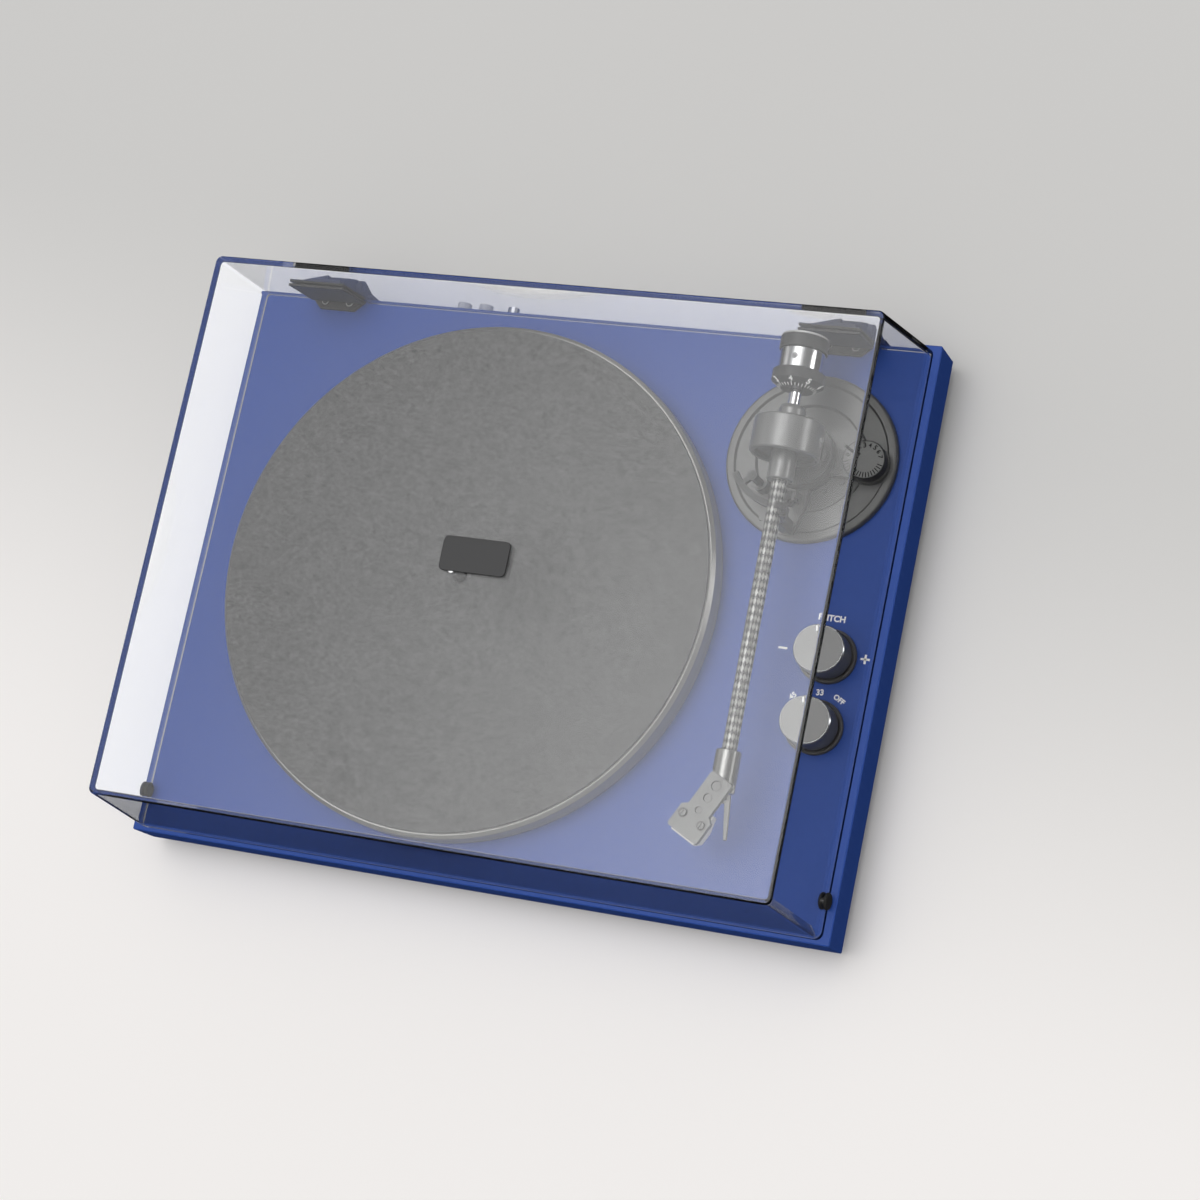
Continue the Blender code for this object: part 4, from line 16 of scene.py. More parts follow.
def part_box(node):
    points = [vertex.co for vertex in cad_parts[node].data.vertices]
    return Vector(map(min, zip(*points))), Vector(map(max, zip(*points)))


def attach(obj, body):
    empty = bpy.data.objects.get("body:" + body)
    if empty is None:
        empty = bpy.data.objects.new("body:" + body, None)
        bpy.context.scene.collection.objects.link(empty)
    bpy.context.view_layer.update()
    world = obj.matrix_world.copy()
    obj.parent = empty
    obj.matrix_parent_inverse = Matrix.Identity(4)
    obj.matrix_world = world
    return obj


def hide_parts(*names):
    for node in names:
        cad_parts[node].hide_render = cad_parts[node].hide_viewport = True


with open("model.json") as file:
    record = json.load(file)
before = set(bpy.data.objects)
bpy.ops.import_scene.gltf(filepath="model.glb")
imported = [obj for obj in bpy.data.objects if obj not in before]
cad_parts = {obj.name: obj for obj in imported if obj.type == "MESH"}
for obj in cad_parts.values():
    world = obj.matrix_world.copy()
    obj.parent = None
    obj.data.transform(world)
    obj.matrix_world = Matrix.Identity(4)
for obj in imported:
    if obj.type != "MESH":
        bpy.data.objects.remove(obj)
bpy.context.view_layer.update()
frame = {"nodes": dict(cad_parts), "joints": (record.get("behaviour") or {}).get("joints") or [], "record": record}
nodes = frame["nodes"]
joints = {joint["name"]: joint for joint in frame["joints"]}
slot_of = {part["node"]: part["material_slot"] for part in frame["record"]["subparts"]}
body_of = {name: body for body, names in frame["record"]["behaviour"]["bodies"].items() for name in names}

# %% [markdown]
# ## Where things are
# A dressed piece has to sit where its solid sits, or it would float when a joint moves. So the places are
# read from the frame: the deck's top from the plinth's box, each axis from its joint.

# %% Places on the deck
move = Matrix.Translation
plinth_low, plinth_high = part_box("plinth")
DECK = Vector(((plinth_low.x + plinth_high.x) / 2, (plinth_low.y + plinth_high.y) / 2, plinth_high.z))


def spin(angle, axis="Z"):
    return Matrix.Rotation(angle, 4, axis)


def on_deck(place):
    """Moves an upright piece, drawn about its own axis, to a place on the deck's top."""
    return move((place[0], place[1], DECK.z))


def middle_of(name):
    low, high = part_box(name)
    return (low + high) / 2


PLATTER, PIVOT, DIAL, PITCH, SPEED = (
    Vector(joints[name]["pos_m"])
    for name in ("platter_spin", "arm_swing", "anti_skate_turn", "pitch_knob_turn", "speed_knob_turn"))
weight_way = joints["weight_slide"]["axis"]
ARM_TURN = atan2(-weight_way[0], weight_way[1])
ALONG_ARM = Euler((radians(-90), 0, ARM_TURN))
ON_ARM = move(PIVOT) @ ALONG_ARM.to_matrix().to_4x4()
print("deck top", [round(v, 4) for v in DECK], "arm turned", round(degrees(ARM_TURN), 2), "degrees")

# %% [markdown]
# ## The lathe
# Most of a turntable is turned: platter, knobs, weight, drum. A turned piece is one outline of
# (radius, height) points swept round an axis. Real edges are never perfectly sharp, so each corner of the
# outline is eased with a small curve before it is swept, and that narrow curve is what glints.


# %% Eased outline and sweep
def eased(outline, ease, closed, steps=3):
    """The outline with each corner rounded by a short curve no longer than ease."""
    count = len(outline)
    points = []
    for index, here in enumerate(outline):
        if not closed and index in (0, count - 1):
            points.append(here)
            continue
        before, corner, after = (Vector(outline[(index + way) % count]) for way in (-1, 0, 1))
        start, end = (corner + (side - corner).normalized() * min(ease, (side - corner).length * 0.45)
                      for side in (before, after))
        for step in range(steps + 1):
            share = step / steps
            points.append(tuple(start * (1 - share) ** 2 + corner * 2 * share * (1 - share) + end * share**2))
    return points


def swept(outline, steps, closed):
    """A mesh of the outline turned round Z. Points on the axis become one vertex, so poles are closed."""
    bm = bmesh.new()
    rings = []
    turns = [2 * pi * step / steps for step in range(steps)]
    for radius, height in outline:
        if radius < 1e-7:
            rings.append([bm.verts.new((0, 0, height))] * steps)
        else:
            rings.append([bm.verts.new((radius * cos(turn), radius * sin(turn), height)) for turn in turns])
    pairs = list(zip(rings, rings[1:])) + ([(rings[-1], rings[0])] if closed else [])
    wrap = bm.loops.layers.uv.new("round_and_along")
    far = [0.0]
    for (r0, z0), (r1, z1) in zip(outline, outline[1:] + outline[:1]):
        far.append(far[-1] + sqrt((r1 - r0) ** 2 + (z1 - z0) ** 2))
    for row, (upper, lower) in enumerate(pairs):
        for step in range(steps):
            on = (step + 1) % steps
            corners = [upper[step], lower[step], lower[on], upper[on]]
            places = [(step, row), (step, row + 1), (step + 1, row + 1), (step + 1, row)]
            kept = [i for i in range(4) if corners[i] is not corners[i - 1]]
            face = bm.faces.new([corners[i] for i in kept])
            for loop, i in zip(face.loops, kept):
                loop[wrap].uv = (places[i][0] / steps, far[places[i][1]])
    bmesh.ops.recalc_face_normals(bm, faces=bm.faces)
    return bm


print("a square corner eased:", len(eased([(0, 0), (1, 0), (1, 1)], 0.1, False)), "points")

# %% [markdown]
# ## Finishing a mesh
# Flat faces beside a small rounded edge shade wrongly unless the large face wins, so every mesh ends with
# weighted normals: each vertex takes the direction of the largest face that it belongs to. Edges sharper
# than a limit stay crisp. The modifiers are applied, so what is left is a plain mesh.


# %% Settling a mesh
def linked(name, data):
    """A new object in the scene."""
    made = bpy.data.objects.new(name, data)
    bpy.context.scene.collection.objects.link(made)
    return made


def as_mesh(name, bm):
    mesh = bpy.data.meshes.new(name)
    bm.to_mesh(mesh)
    bm.free()
    return mesh


def evaluated_mesh(piece):
    bpy.context.view_layer.update()
    return bpy.data.meshes.new_from_object(piece.evaluated_get(bpy.context.evaluated_depsgraph_get()))


def flattened(piece):
    """Applies a piece's modifiers by taking its evaluated mesh."""
    mesh = evaluated_mesh(piece)
    piece.modifiers.clear()
    piece.data = mesh
    return piece


def settled(name, bm, sharp=40, bevel=0.0):
    """A plain mesh object from a bmesh, with crisp edges past a limit, an optional bevel and true flats."""
    for face in bm.faces:
        face.smooth = True
    for edge in bm.edges:
        edge.smooth = not (len(edge.link_faces) == 2 and edge.calc_face_angle(0) > radians(sharp))
    piece = linked(name, as_mesh(name, bm))
    if bevel:
        edges = piece.modifiers.new("eased edges", "BEVEL")
        edges.width, edges.segments = bevel, 2
        edges.limit_method, edges.angle_limit = "ANGLE", radians(sharp)
    weights = piece.modifiers.new("true flats", "WEIGHTED_NORMAL")
    weights.keep_sharp, weights.weight = not bevel, 80
    return flattened(piece)


print("meshes get crisp edges, an optional bevel and true flats")

# %% [markdown]
# Some pieces are drilled. A drill is a cylinder that a Boolean cuts away, before the normals are settled
# again.


# %% Cutting and drilling
def carved(piece, cutters):
    """Cuts the cutters out of a piece and removes them."""
    for cutter in cutters:
        cut = piece.modifiers.new(cutter.name, "BOOLEAN")
        cut.operation, cut.solver, cut.object = "DIFFERENCE", "EXACT", cutter
    flattened(piece)
    for cutter in cutters:
        bpy.data.objects.remove(cutter, do_unlink=True)
    return piece


def drilled(piece, holes, sharp=40):
    """Cuts cylinders, each (matrix, radius, length), out of a piece and settles its normals again."""
    cutters = []
    for matrix, radius, length in holes:
        bm = bmesh.new()
        bmesh.ops.create_cone(bm, cap_ends=True, segments=40, radius1=radius, radius2=radius, depth=length)
        bmesh.ops.transform(bm, matrix=matrix, verts=bm.verts)
        cutters.append(linked("drill", as_mesh("drill", bm)))
    carved(piece, cutters)
    bm = bmesh.new()
    bm.from_mesh(piece.data)
    name = piece.name
    bpy.data.objects.remove(piece, do_unlink=True)
    return settled(name, bm, sharp)


def bar(bm, place, size):
    """Adds a box of a size, centred on a place."""
    made = bmesh.ops.create_cube(bm, size=1)["verts"]
    bmesh.ops.transform(bm, matrix=place @ Matrix.Diagonal((*size, 1)), verts=made)


print("drills have 40 sides")

# %% [markdown]
# Each finished piece gets its material and rides on its body, and the solid that it stands for is hidden. A
# piece that is added, such as a tick on a dial, rides with its solid, but hides nothing.
# Outlines of turned pieces are written in millimetres, as on a drawing.

# %% Giving a piece to its body
finishes = {}


def given(piece, solid, finish=None, added=False):
    """Gives a piece a solid's body and the finish of its slot, or the finish named. It stands for the solid and
    hides it, unless it is added to it.
    """
    piece.data.materials.clear()
    piece.data.materials.append(finishes[finish or slot_of[solid]])
    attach(piece, body_of[solid])
    if not added:
        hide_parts(solid)
    return piece


def turned(name, outline, place, solid, steps=96, ease=0.3, closed=True, sharp=50, holes=(), **other):
    """A turned piece from an outline in millimetres: eased, swept, moved to its place, drilled and given."""
    points = [(radius / 1000, height / 1000) for radius, height in outline]
    bm = swept(eased(points, ease / 1000, closed), steps, closed)
    bmesh.ops.transform(bm, matrix=place, verts=bm.verts)
    piece = settled(name, bm, sharp)
    return given(drilled(piece, holes) if holes else piece, solid, **other)


print("bodies in the record:", ", ".join(sorted(set(body_of.values()))))

# %% [markdown]
# ## Finishes that several pieces share
# Paint, plastic, felt and metal all have a fine grain: small changes of tone, of gloss and of height. One
# node group makes all three from noise, so that each finish only chooses its own size and strength. The
# group puts out values; the shader itself stays in each material, where its plain numbers can be read.
# The helpers find the tree to build in from the sockets that they are given.


# %% Node helpers
def feed(made, inputs):
    """Sets a node's inputs: each to a plain value, or to another node's output by a link."""
    for label, value in inputs.items():
        if isinstance(value, bpy.types.NodeSocket):
            made.id_data.links.new(value, made.inputs[label])
        else:
            made.inputs[label].default_value = value


def node(tree, kind, inputs={}, **settings):
    """Adds a node with its settings and inputs, and gives back its outputs."""
    made = tree.nodes.new(kind)
    for key, value in settings.items():
        setattr(made, key, value)
    feed(made, inputs)
    return made.outputs


def maths(operation, *values):
    """A Math node in the tree of its first linked value."""
    tree = next(value.id_data for value in values if isinstance(value, bpy.types.NodeSocket))
    return node(tree, "ShaderNodeMath", dict(enumerate(values)), operation=operation)[0]


def plus(first, second):
    return maths("ADD", first, second)


def times(first, second):
    return maths("MULTIPLY", first, second)


def over(first, limit):
    return maths("GREATER_THAN", first, limit)


def new_group(name, inputs, outputs, kind="ShaderNodeTree"):
    """An empty node group with its sockets, its input node's outputs and its output node."""
    group = bpy.data.node_groups.new(name, kind)
    for side, sockets in (("INPUT", inputs), ("OUTPUT", outputs)):
        for label, socket_kind, *value in sockets:
            made = group.interface.new_socket(name=label, in_out=side, socket_type=f"NodeSocket{socket_kind}")
            if value:
                made.default_value = value[0]
    return group, node(group, "NodeGroupInput"), group.nodes.new("NodeGroupOutput")


def noise_of(vector, scale, detail=3.0, rough=0.55, distortion=0.0):
    inputs = {"Vector": vector, "Scale": scale, "Detail": detail, "Roughness": rough, "Distortion": distortion}
    return node(vector.id_data, "ShaderNodeTexNoise", inputs)["Fac"]


def scaled(vector, by):
    """A colour or vector times a value."""
    return node(vector.id_data, "ShaderNodeVectorMath", {0: vector, "Scale": by}, operation="SCALE")[0]


def parted(vector):
    return node(vector.id_data, "ShaderNodeSeparateXYZ", {0: vector})


def grey(value):
    return node(value.id_data, "ShaderNodeCombineColor", dict.fromkeys(range(3), value))[0]


def ramp(factor, *stops, interpolation="LINEAR"):
    """A colour ramp of two stops, each (position, colour)."""
    made = factor.id_data.nodes.new("ShaderNodeValToRGB")
    made.color_ramp.interpolation = interpolation
    for element, (position, colour) in zip(made.color_ramp.elements, stops):
        element.position, element.color = position, (*colour, 1)
    feed(made, {0: factor})
    return made.outputs[0]


print("node helpers ready")

# %% Fine grain
fine_grain, take, give = new_group(
    "fine_grain",
    [("Vector", "Vector"), ("Colour", "Color", (0.5, 0.5, 0.5, 1)), ("Grains per metre", "Float", 2000.0),
     ("Contrast", "Float", 0.1), ("Roughness", "Float", 0.4), ("Spread", "Float", 0.05)],
    [("Colour", "Color"), ("Roughness", "Float"), ("Height", "Float")])
grain = noise_of(take["Vector"], take["Grains per metre"])
cloud = noise_of(take["Vector"], times(take["Grains per metre"], 0.02), 2.0)
both = times(maths("SUBTRACT", plus(grain, cloud), 1.0), 1.6)
tone = plus(times(both, take["Contrast"]), 1.0)
gloss = plus(times(both, take["Spread"]), take["Roughness"])
feed(give, {"Colour": scaled(take["Colour"], tone), "Roughness": gloss, "Height": grain})
print("fine grain:", len(fine_grain.nodes), "nodes")

# %% [markdown]
# Turned metal keeps the marks of the tool: rings about the axis, each a little brighter or duller. The
# distance from the axis goes through a one-line noise, so the rings are uneven as real ones are.

# %% Turning marks
turning_marks, take, give = new_group(
    "turning_marks",
    [("Vector", "Vector"), ("Rings per metre", "Float", 4000.0), ("Strength", "Float", 0.2)],
    [("Tone", "Float"), ("Height", "Float")])
x, y, z = parted(take["Vector"])
square = plus(times(x, x), times(y, y))
ring_place = node(turning_marks, "ShaderNodeCombineXYZ", {0: maths("SQRT", square), 1: z})[0]
rings = noise_of(ring_place, take["Rings per metre"], 2.0, 0.7)
uneven = times(maths("SUBTRACT", rings, 0.5), take["Strength"])
feed(give, {"Tone": plus(uneven, 1.0), "Height": rings})
print("turning marks:", len(turning_marks.nodes), "nodes")


# %% Materials from the two groups
def bare_finish(name, colour, roughness, metallic=0.0, **plain):
    """A material with its constants on the shader's own sockets, filed under its name."""
    made = finishes[name] = bpy.data.materials.new(name)
    made.use_nodes = True
    shader = made.node_tree.nodes["Principled BSDF"]
    feed(shader, {"Base Color": (*colour, 1), "Roughness": roughness, "Metallic": metallic})
    feed(shader, {key.replace("_", " "): value for key, value in plain.items()})
    return made.node_tree, shader


def centred(tree, place=None, turn=(0, 0, 0)):
    """Object coordinates, moved so that the piece's own axis is at the origin and along Z."""
    source = node(tree, "ShaderNodeTexCoord")["Object"]
    if place is None:
        return source
    inputs = {"Vector": source, "Location": place, "Rotation": turn}
    return node(tree, "ShaderNodeMapping", inputs, vector_type="TEXTURE")[0]


def with_grain(vector, colour, grains, contrast, roughness=0.4, spread=0.05):
    """The fine grain at a vector, set to a finish's numbers."""
    inputs = {"Vector": vector, "Colour": (*colour, 1), "Grains per metre": grains, "Contrast": contrast,
              "Roughness": roughness, "Spread": spread}
    return node(vector.id_data, "ShaderNodeGroup", inputs, node_tree=fine_grain)


def bumped(shader, height, strength, distance):
    bump = node(shader.id_data, "ShaderNodeBump", {"Strength": strength, "Distance": distance, "Height": height})
    feed(shader, {"Normal": bump[0]})


def grained(name, colour, roughness, metallic, specular, grains, contrast, spread, depth, strength):
    """A finish whose tone, gloss and height follow the fine grain."""
    tree, shader = bare_finish(name, colour, roughness, metallic, Specular_IOR_Level=specular)
    grain = with_grain(centred(tree), colour, grains, contrast, roughness, spread)
    feed(shader, {"Base Color": grain["Colour"], "Roughness": grain["Roughness"]})
    bumped(shader, grain["Height"], strength, depth)


def turned_metal(name, colour, roughness, metallic, place, turn, rings, mark, strength):
    """A metal with rings about its own axis over a faint grain."""
    tree, shader = bare_finish(name, colour, roughness, metallic)
    vector = centred(tree, place, turn)
    inputs = {"Vector": vector, "Rings per metre": rings, "Strength": mark}
    marks = node(tree, "ShaderNodeGroup", inputs, node_tree=turning_marks)
    grain = with_grain(vector, colour, 900.0, 0.04, roughness, roughness * 0.12)
    feed(shader, {"Base Color": scaled(grain["Colour"], marks["Tone"]),
                  "Roughness": times(grain["Roughness"], marks["Tone"])})
    bumped(shader, marks["Height"], strength, 0.00001)


print("finishes are made by grained and turned_metal")

# %% [markdown]
# ## The plain finishes
# Each slot of the record gets its finish. The plinth is blue lacquer with the faint ripple that sprayed
# paint has. Moulded plastic is coarser and duller, rubber duller still, and bead-blasted aluminium has a
# tight bright grain. Inks barely mirror anything, or dark print would turn grey under a bright sky.

# %% Lacquer, plastics, rubber and plain metals
# Columns: colour, roughness, metallic, specular; grains per metre, contrast, spread, depth in metres, strength.
for name, *row in (
    ("blue_lacquer", (0.025, 0.073, 0.325), 0.36, 0.0, 0.18, 700, 0.03, 0.03, 2e-5, 0.06),
    ("dark_plastic", (0.035, 0.035, 0.036), 0.46, 0.0, 0.5, 2600, 0.14, 0.06, 4e-5, 0.4),
    ("satin_black", (0.022, 0.022, 0.023), 0.34, 0.0, 0.5, 3200, 0.10, 0.05, 2e-5, 0.25),
    ("cast_grey", (0.125, 0.125, 0.122), 0.36, 0.45, 0.5, 2200, 0.04, 0.03, 5e-6, 0.05),
    ("headshell_grey", (0.160, 0.160, 0.156), 0.42, 0.50, 0.5, 2600, 0.04, 0.03, 5e-6, 0.05),
    ("polished_steel", (0.80, 0.80, 0.81), 0.07, 1.0, 0.5, 500, 0.015, 0.02, 4e-6, 0.05),
    ("black_rubber", (0.016, 0.016, 0.016), 0.72, 0.0, 0.5, 1800, 0.2, 0.08, 6e-5, 0.45),
    ("white_plastic", (0.62, 0.62, 0.60), 0.36, 0.0, 0.5, 1500, 0.04, 0.04, 2e-5, 0.3),
    ("board_green", (0.020, 0.150, 0.050), 0.42, 0.0, 0.5, 900, 0.18, 0.06, 2e-5, 0.3),
    ("brass", (0.66, 0.47, 0.18), 0.24, 1.0, 0.5, 1400, 0.06, 0.05, 2e-5, 0.3),
    ("bezel_grey", (0.075, 0.072, 0.070), 0.38, 0.0, 0.5, 2600, 0.08, 0.05, 2e-5, 0.2),
    # bright_edge is pale and half metal, so it paints a bright glint into the colour of what wears it.
    ("bright_edge", (0.66, 0.66, 0.65), 0.24, 0.35, 0.5, 900, 0.03, 0.03, 4e-6, 0.05),
    ("white_ink", (0.96, 0.96, 0.95), 0.5, 0.0, 0.5, 4000, 0.03, 0.04, 2e-5, 0.3),
    # dark_ink is dark print, and it also paints the shadow in the headshell's grooves.
    ("dark_ink", (0.010, 0.010, 0.010), 0.6, 0.0, 0.04, 4000, 0.05, 0.04, 2e-5, 0.3),
):
    grained(name, *row)
print("plain finishes:", len(finishes))

# %% [markdown]
# ## Turned finishes
# The platter, the knobs and the weight show rings about their own axes, so each of them needs its own
# material: a Mapping node of the Texture kind moves the pattern's axis onto the piece.

# %% Metals with turning marks
UPRIGHT, LYING = (0, 0, 0), tuple(ALONG_ARM)
# Columns: colour, roughness, metallic; place and turn of the axis; rings per metre, mark, strength.
for name, *row in (
    ("machined_aluminium", (0.40, 0.395, 0.380), 0.30, 0.75, PLATTER, UPRIGHT, 1500, 0.2, 0.25),
    ("brushed_grey_pitch", (0.196, 0.195, 0.192), 0.36, 0.5, PITCH, UPRIGHT, 2600, 0.45, 0.25),
    ("brushed_grey_speed", (0.196, 0.195, 0.192), 0.36, 0.5, SPEED, UPRIGHT, 2600, 0.45, 0.25),
    ("dial_face", (0.160, 0.160, 0.157), 0.45, 0.35, DIAL, UPRIGHT, 2600, 0.20, 0.25),
    ("drum_grey", (0.232, 0.232, 0.229), 0.31, 0.6, PIVOT, LYING, 1500, 0.08, 0.05),
    ("collar_grey", (0.26, 0.26, 0.25), 0.24, 1.0, PIVOT, LYING, 1500, 0.08, 0.05),
    ("weight_chrome", (0.80, 0.80, 0.80), 0.09, 1.0, PIVOT, LYING, 1800, 0.05, 0.05),
):
    turned_metal(name, *row)
finishes["brushed_grey"] = finishes["brushed_grey_pitch"]
print("all finishes:", len(finishes))

# %% [markdown]
# ## Felt
# The slip mat is pressed wool: short fibres that lie in soft swirls, with a nap that dulls and lifts the
# light at the edge. Two noises give the fibres and the clumps, a third drifts the tone, and the sheen
# constants on the shader give the nap.

# %% Felt
tree, shader = bare_finish("grey_felt", (0.060, 0.060, 0.060), 0.95, Sheen_Weight=0.25, Sheen_Roughness=0.5)
vector = centred(tree, PLATTER)
stretch = {"Vector": vector, "Rotation": (0, 0, radians(35)), "Scale": (1.0, 1.7, 1.0)}
fibres = noise_of(node(tree, "ShaderNodeMapping", stretch)[0], 370.0, 4.0, 0.64, 0.4)
clumps = noise_of(vector, 150.0, 3.0, 0.6, 0.6)
drift = noise_of(vector, 14.0, 2.0)
felt_mix = plus(plus(times(fibres, 0.95), times(clumps, 0.30)), times(drift, 0.15))
tone = ramp(felt_mix, (0.46, (0.034, 0.034, 0.034)), (0.94, (0.154, 0.154, 0.153)))
feed(shader, {"Base Color": tone})
bumped(shader, felt_mix, 0.12, 0.0003)
print("felt:", len(tree.nodes), "nodes")

# %% [markdown]
# ## Woven carbon
# The arm tube is a braid: two sets of strands cross at a slant, each passing over and under the other. The
# piece's own UV map runs round and along the tube. Two slanted counts cut it into diamonds, and whether
# their sum is odd or even says which strand lies on top. A chance value for each crossing keeps the flecks
# as uneven as they are on a real tube.

# %% Braid group
braid, take, give = new_group(
    "braid",
    [("Round and along", "Vector"), ("Strands round", "Float", 12.0), ("Strands per metre", "Float", 215.0)],
    [("Which strand", "Float"), ("Height", "Float"), ("Chance", "Float")])
x, y, z = parted(take["Round and along"])
around, along = times(x, take["Strands round"]), times(y, take["Strands per metre"])
counts = [plus(around, along), maths("SUBTRACT", around, along)]
cells = [maths("FLOOR", count) for count in counts]
crowns = [maths("SINE", times(maths("FRACT", count), pi)) for count in counts]
crossing = {index: maths("FLOORED_MODULO", cell, 60.0) for index, cell in enumerate(cells)}
crossing = {"Vector": node(braid, "ShaderNodeCombineXYZ", crossing)[0]}
feed(give, {
    "Which strand": maths("FLOORED_MODULO", plus(*cells), 2.0), "Height": times(*crowns),
    "Chance": node(braid, "ShaderNodeTexWhiteNoise", crossing, noise_dimensions="2D")["Value"]})
print("braid:", len(braid.nodes), "nodes")

# %% Carbon finish
tree, shader = bare_finish("carbon_weave", (0.06, 0.06, 0.06), 0.30, 0.35, Coat_Weight=0.5, Coat_Roughness=0.12)
wrap = {"Round and along": node(tree, "ShaderNodeUVMap", uv_map="round_and_along")[0]}
weave = node(tree, "ShaderNodeGroup", wrap, node_tree=braid)
thread = noise_of(centred(tree), 2600.0, 2.0)
strand = plus(times(weave["Which strand"], 0.80), times(weave["Height"], 0.20))
strand = times(times(strand, plus(thread, 0.5)), plus(times(weave["Chance"], 0.80), 0.48))
tone = ramp(strand, (0.14, (0.034, 0.034, 0.033)), (0.88, (0.42, 0.42, 0.40)))
feed(shader, {"Base Color": tone})
bumped(shader, weave["Height"], 0.5, 0.0001)
print("carbon:", len(tree.nodes), "nodes")

# %% [markdown]
# ## Clear acrylic
# The cover is thick clear sheet. Cycles bends rays through the real walls, so its edges gather dark and
# blue lines by themselves. Caustics are slow and noisy, so for shadow and diffuse rays the sheet is simply
# transparent: the light on the deck stays even. At the far left the sheet also turns transparent after
# three inner reflections, because the renderer would stop there and leave the edge black.

# %% Clear acrylic
LEFT_EDGE, INNER_REFLECTIONS = -0.185, 2.5
tree, shader = bare_finish("clear_acrylic", (0.97, 0.98, 0.99), 0.0, Transmission_Weight=1.0, IOR=1.49)
tint = with_grain(centred(tree), (0.994, 0.996, 0.998), 600.0, 0.003)
feed(shader, {"Base Color": tint["Colour"]})
through = node(tree, "ShaderNodeBsdfTransparent", {"Color": (0.965, 0.965, 0.965, 1)})[0]
rays = node(tree, "ShaderNodeLightPath")
at_left = maths("LESS_THAN", parted(centred(tree))[0], LEFT_EDGE)
long_path = times(over(rays["Glossy Depth"], INNER_REFLECTIONS), at_left)
share = maths("MAXIMUM", maths("MAXIMUM", rays["Is Shadow Ray"], rays["Is Diffuse Ray"]), long_path)
mix = node(tree, "ShaderNodeMixShader", {0: share, 1: shader.outputs[0], 2: through})
feed(tree.nodes["Material Output"], {"Surface": mix[0]})
print("acrylic:", len(tree.nodes), "nodes")

# %% [markdown]
# ## Solids that stay
# Most hidden solids are already right in shape. They keep their meshes and take the finish of their slot.

# %% A finish for every solid
for name, solid in nodes.items():
    solid.data.materials.clear()
    solid.data.materials.append(finishes[slot_of[name]])
print("solids with a finish:", len(nodes))

# %% [markdown]
# ## Dressing a solid
# Where a solid has the right shape but bare edges, a copy of its mesh is welded, its flat faces are joined
# again from their triangles, and its edges get a small bevel. The copy rides on the same body and stands
# for the solid.


# %% Dress copies of solids
def dressed(name, bevel, finish=None, sharp=34):
    bm = bmesh.new()
    bm.from_mesh(nodes[name].data)
    bmesh.ops.remove_doubles(bm, verts=bm.verts, dist=0.000002)
    bmesh.ops.dissolve_limit(bm, angle_limit=radians(0.8), verts=bm.verts, edges=bm.edges)
    return given(settled(f"fine_{name}", bm, sharp, bevel), name, finish)


BEVELS = {
    "tonearm_base": 0.00022, "arm_rest": 0.0002, "arm_clip": 0.00012, "cue_lift": 0.0002, "cue_lever": 0.0,
    "headshell": 0.00022, "finger_lift": 0.0002, "cartridge": 0.0003, "stylus": 0.00015,
    "hinge_base_left": 0.00025, "hinge_base_right": 0.00025, "hinge_clip_left": 0.00025,
    "hinge_clip_right": 0.00025, "cover_plate": 0.00035, "socket_panel": 0.0003, "power_inlet": 0.0002,
    "bottom_plate": 0.0003, "pitch_potentiometer": 0.0002, "speed_switch": 0.0002, "drive_belt": 0.0,
    "swing_post": 0.0002, "pivot_screw_left": 0.00012, "pivot_screw_right": 0.00012,
    "hinge_pin_left": 0.0001, "hinge_pin_right": 0.0001,
}
for name, bevel in BEVELS.items():
    # The two pivot screws take a pale finish that paints their bright glint into the colour.
    dressed(name, bevel, "bright_edge" if "pivot_screw" in name else None)
print("dressed solids:", len(BEVELS))

# %% [markdown]
# ## Platter, mat and spindle
# The platter is cast, then turned: a flat top, a bright chamfer and a plain rim, hollow below. The mat is
# a disc of felt a little smaller than the platter, so the chamfer shows as a thin light ring. Both are
# swept with many steps, because a large circle shows its corners first. The pin's tip is eased most.


# %% Platter, mat and spindle
def size_of(name):
    """A round piece's radius, and its top above the deck, in millimetres."""
    low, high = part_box(name)
    return (high.x - low.x) * 500, (high.z - DECK.z) * 1000


PLATTER_RADIUS, PLATTER_TOP = size_of("platter")
MAT_RADIUS, MAT_TOP = size_of("slip_mat")
PIN_TOP, PIN_BOTTOM, HOLE, CHAMFER, INNER_RADIUS = size_of("spindle")[1], -19.5, 3.9, 2.0, PLATTER_RADIUS - 9
hub_bottom, mat_bottom = PLATTER_TOP - 4.5, PLATTER_TOP + 0.3
platter_outline = [
    (HOLE, PLATTER_TOP), (PLATTER_RADIUS - CHAMFER, PLATTER_TOP), (PLATTER_RADIUS, PLATTER_TOP - CHAMFER),
    (PLATTER_RADIUS, 3), (INNER_RADIUS, 3), (INNER_RADIUS, hub_bottom), (HOLE, hub_bottom)]
mat_outline = [(HOLE, MAT_TOP), (MAT_RADIUS, MAT_TOP), (MAT_RADIUS, mat_bottom), (HOLE, mat_bottom)]
pin_outline = [(0, PIN_TOP), (2.2, PIN_TOP), (3.6, PIN_TOP - 2.2), (3.6, PIN_BOTTOM), (0, PIN_BOTTOM)]
turned("fine_platter", platter_outline, on_deck(PLATTER), "platter", 288, 0.25)
turned("felt_mat", mat_outline, on_deck(PLATTER), "slip_mat", 240, 0.7)
turned("fine_spindle", pin_outline, on_deck(PLATTER), "spindle", 48, 0.6, closed=False)
print("platter radius", round(PLATTER_RADIUS, 1), "mm; mat radius", round(MAT_RADIUS, 1), "mm")

# %% [markdown]
# ## Knobs and bezels
# The pitch and speed knobs are short metal cylinders with a narrow polished chamfer, standing in a shallow
# dark cup. A white inlay at the rear edge of each knob's top is the pointer.

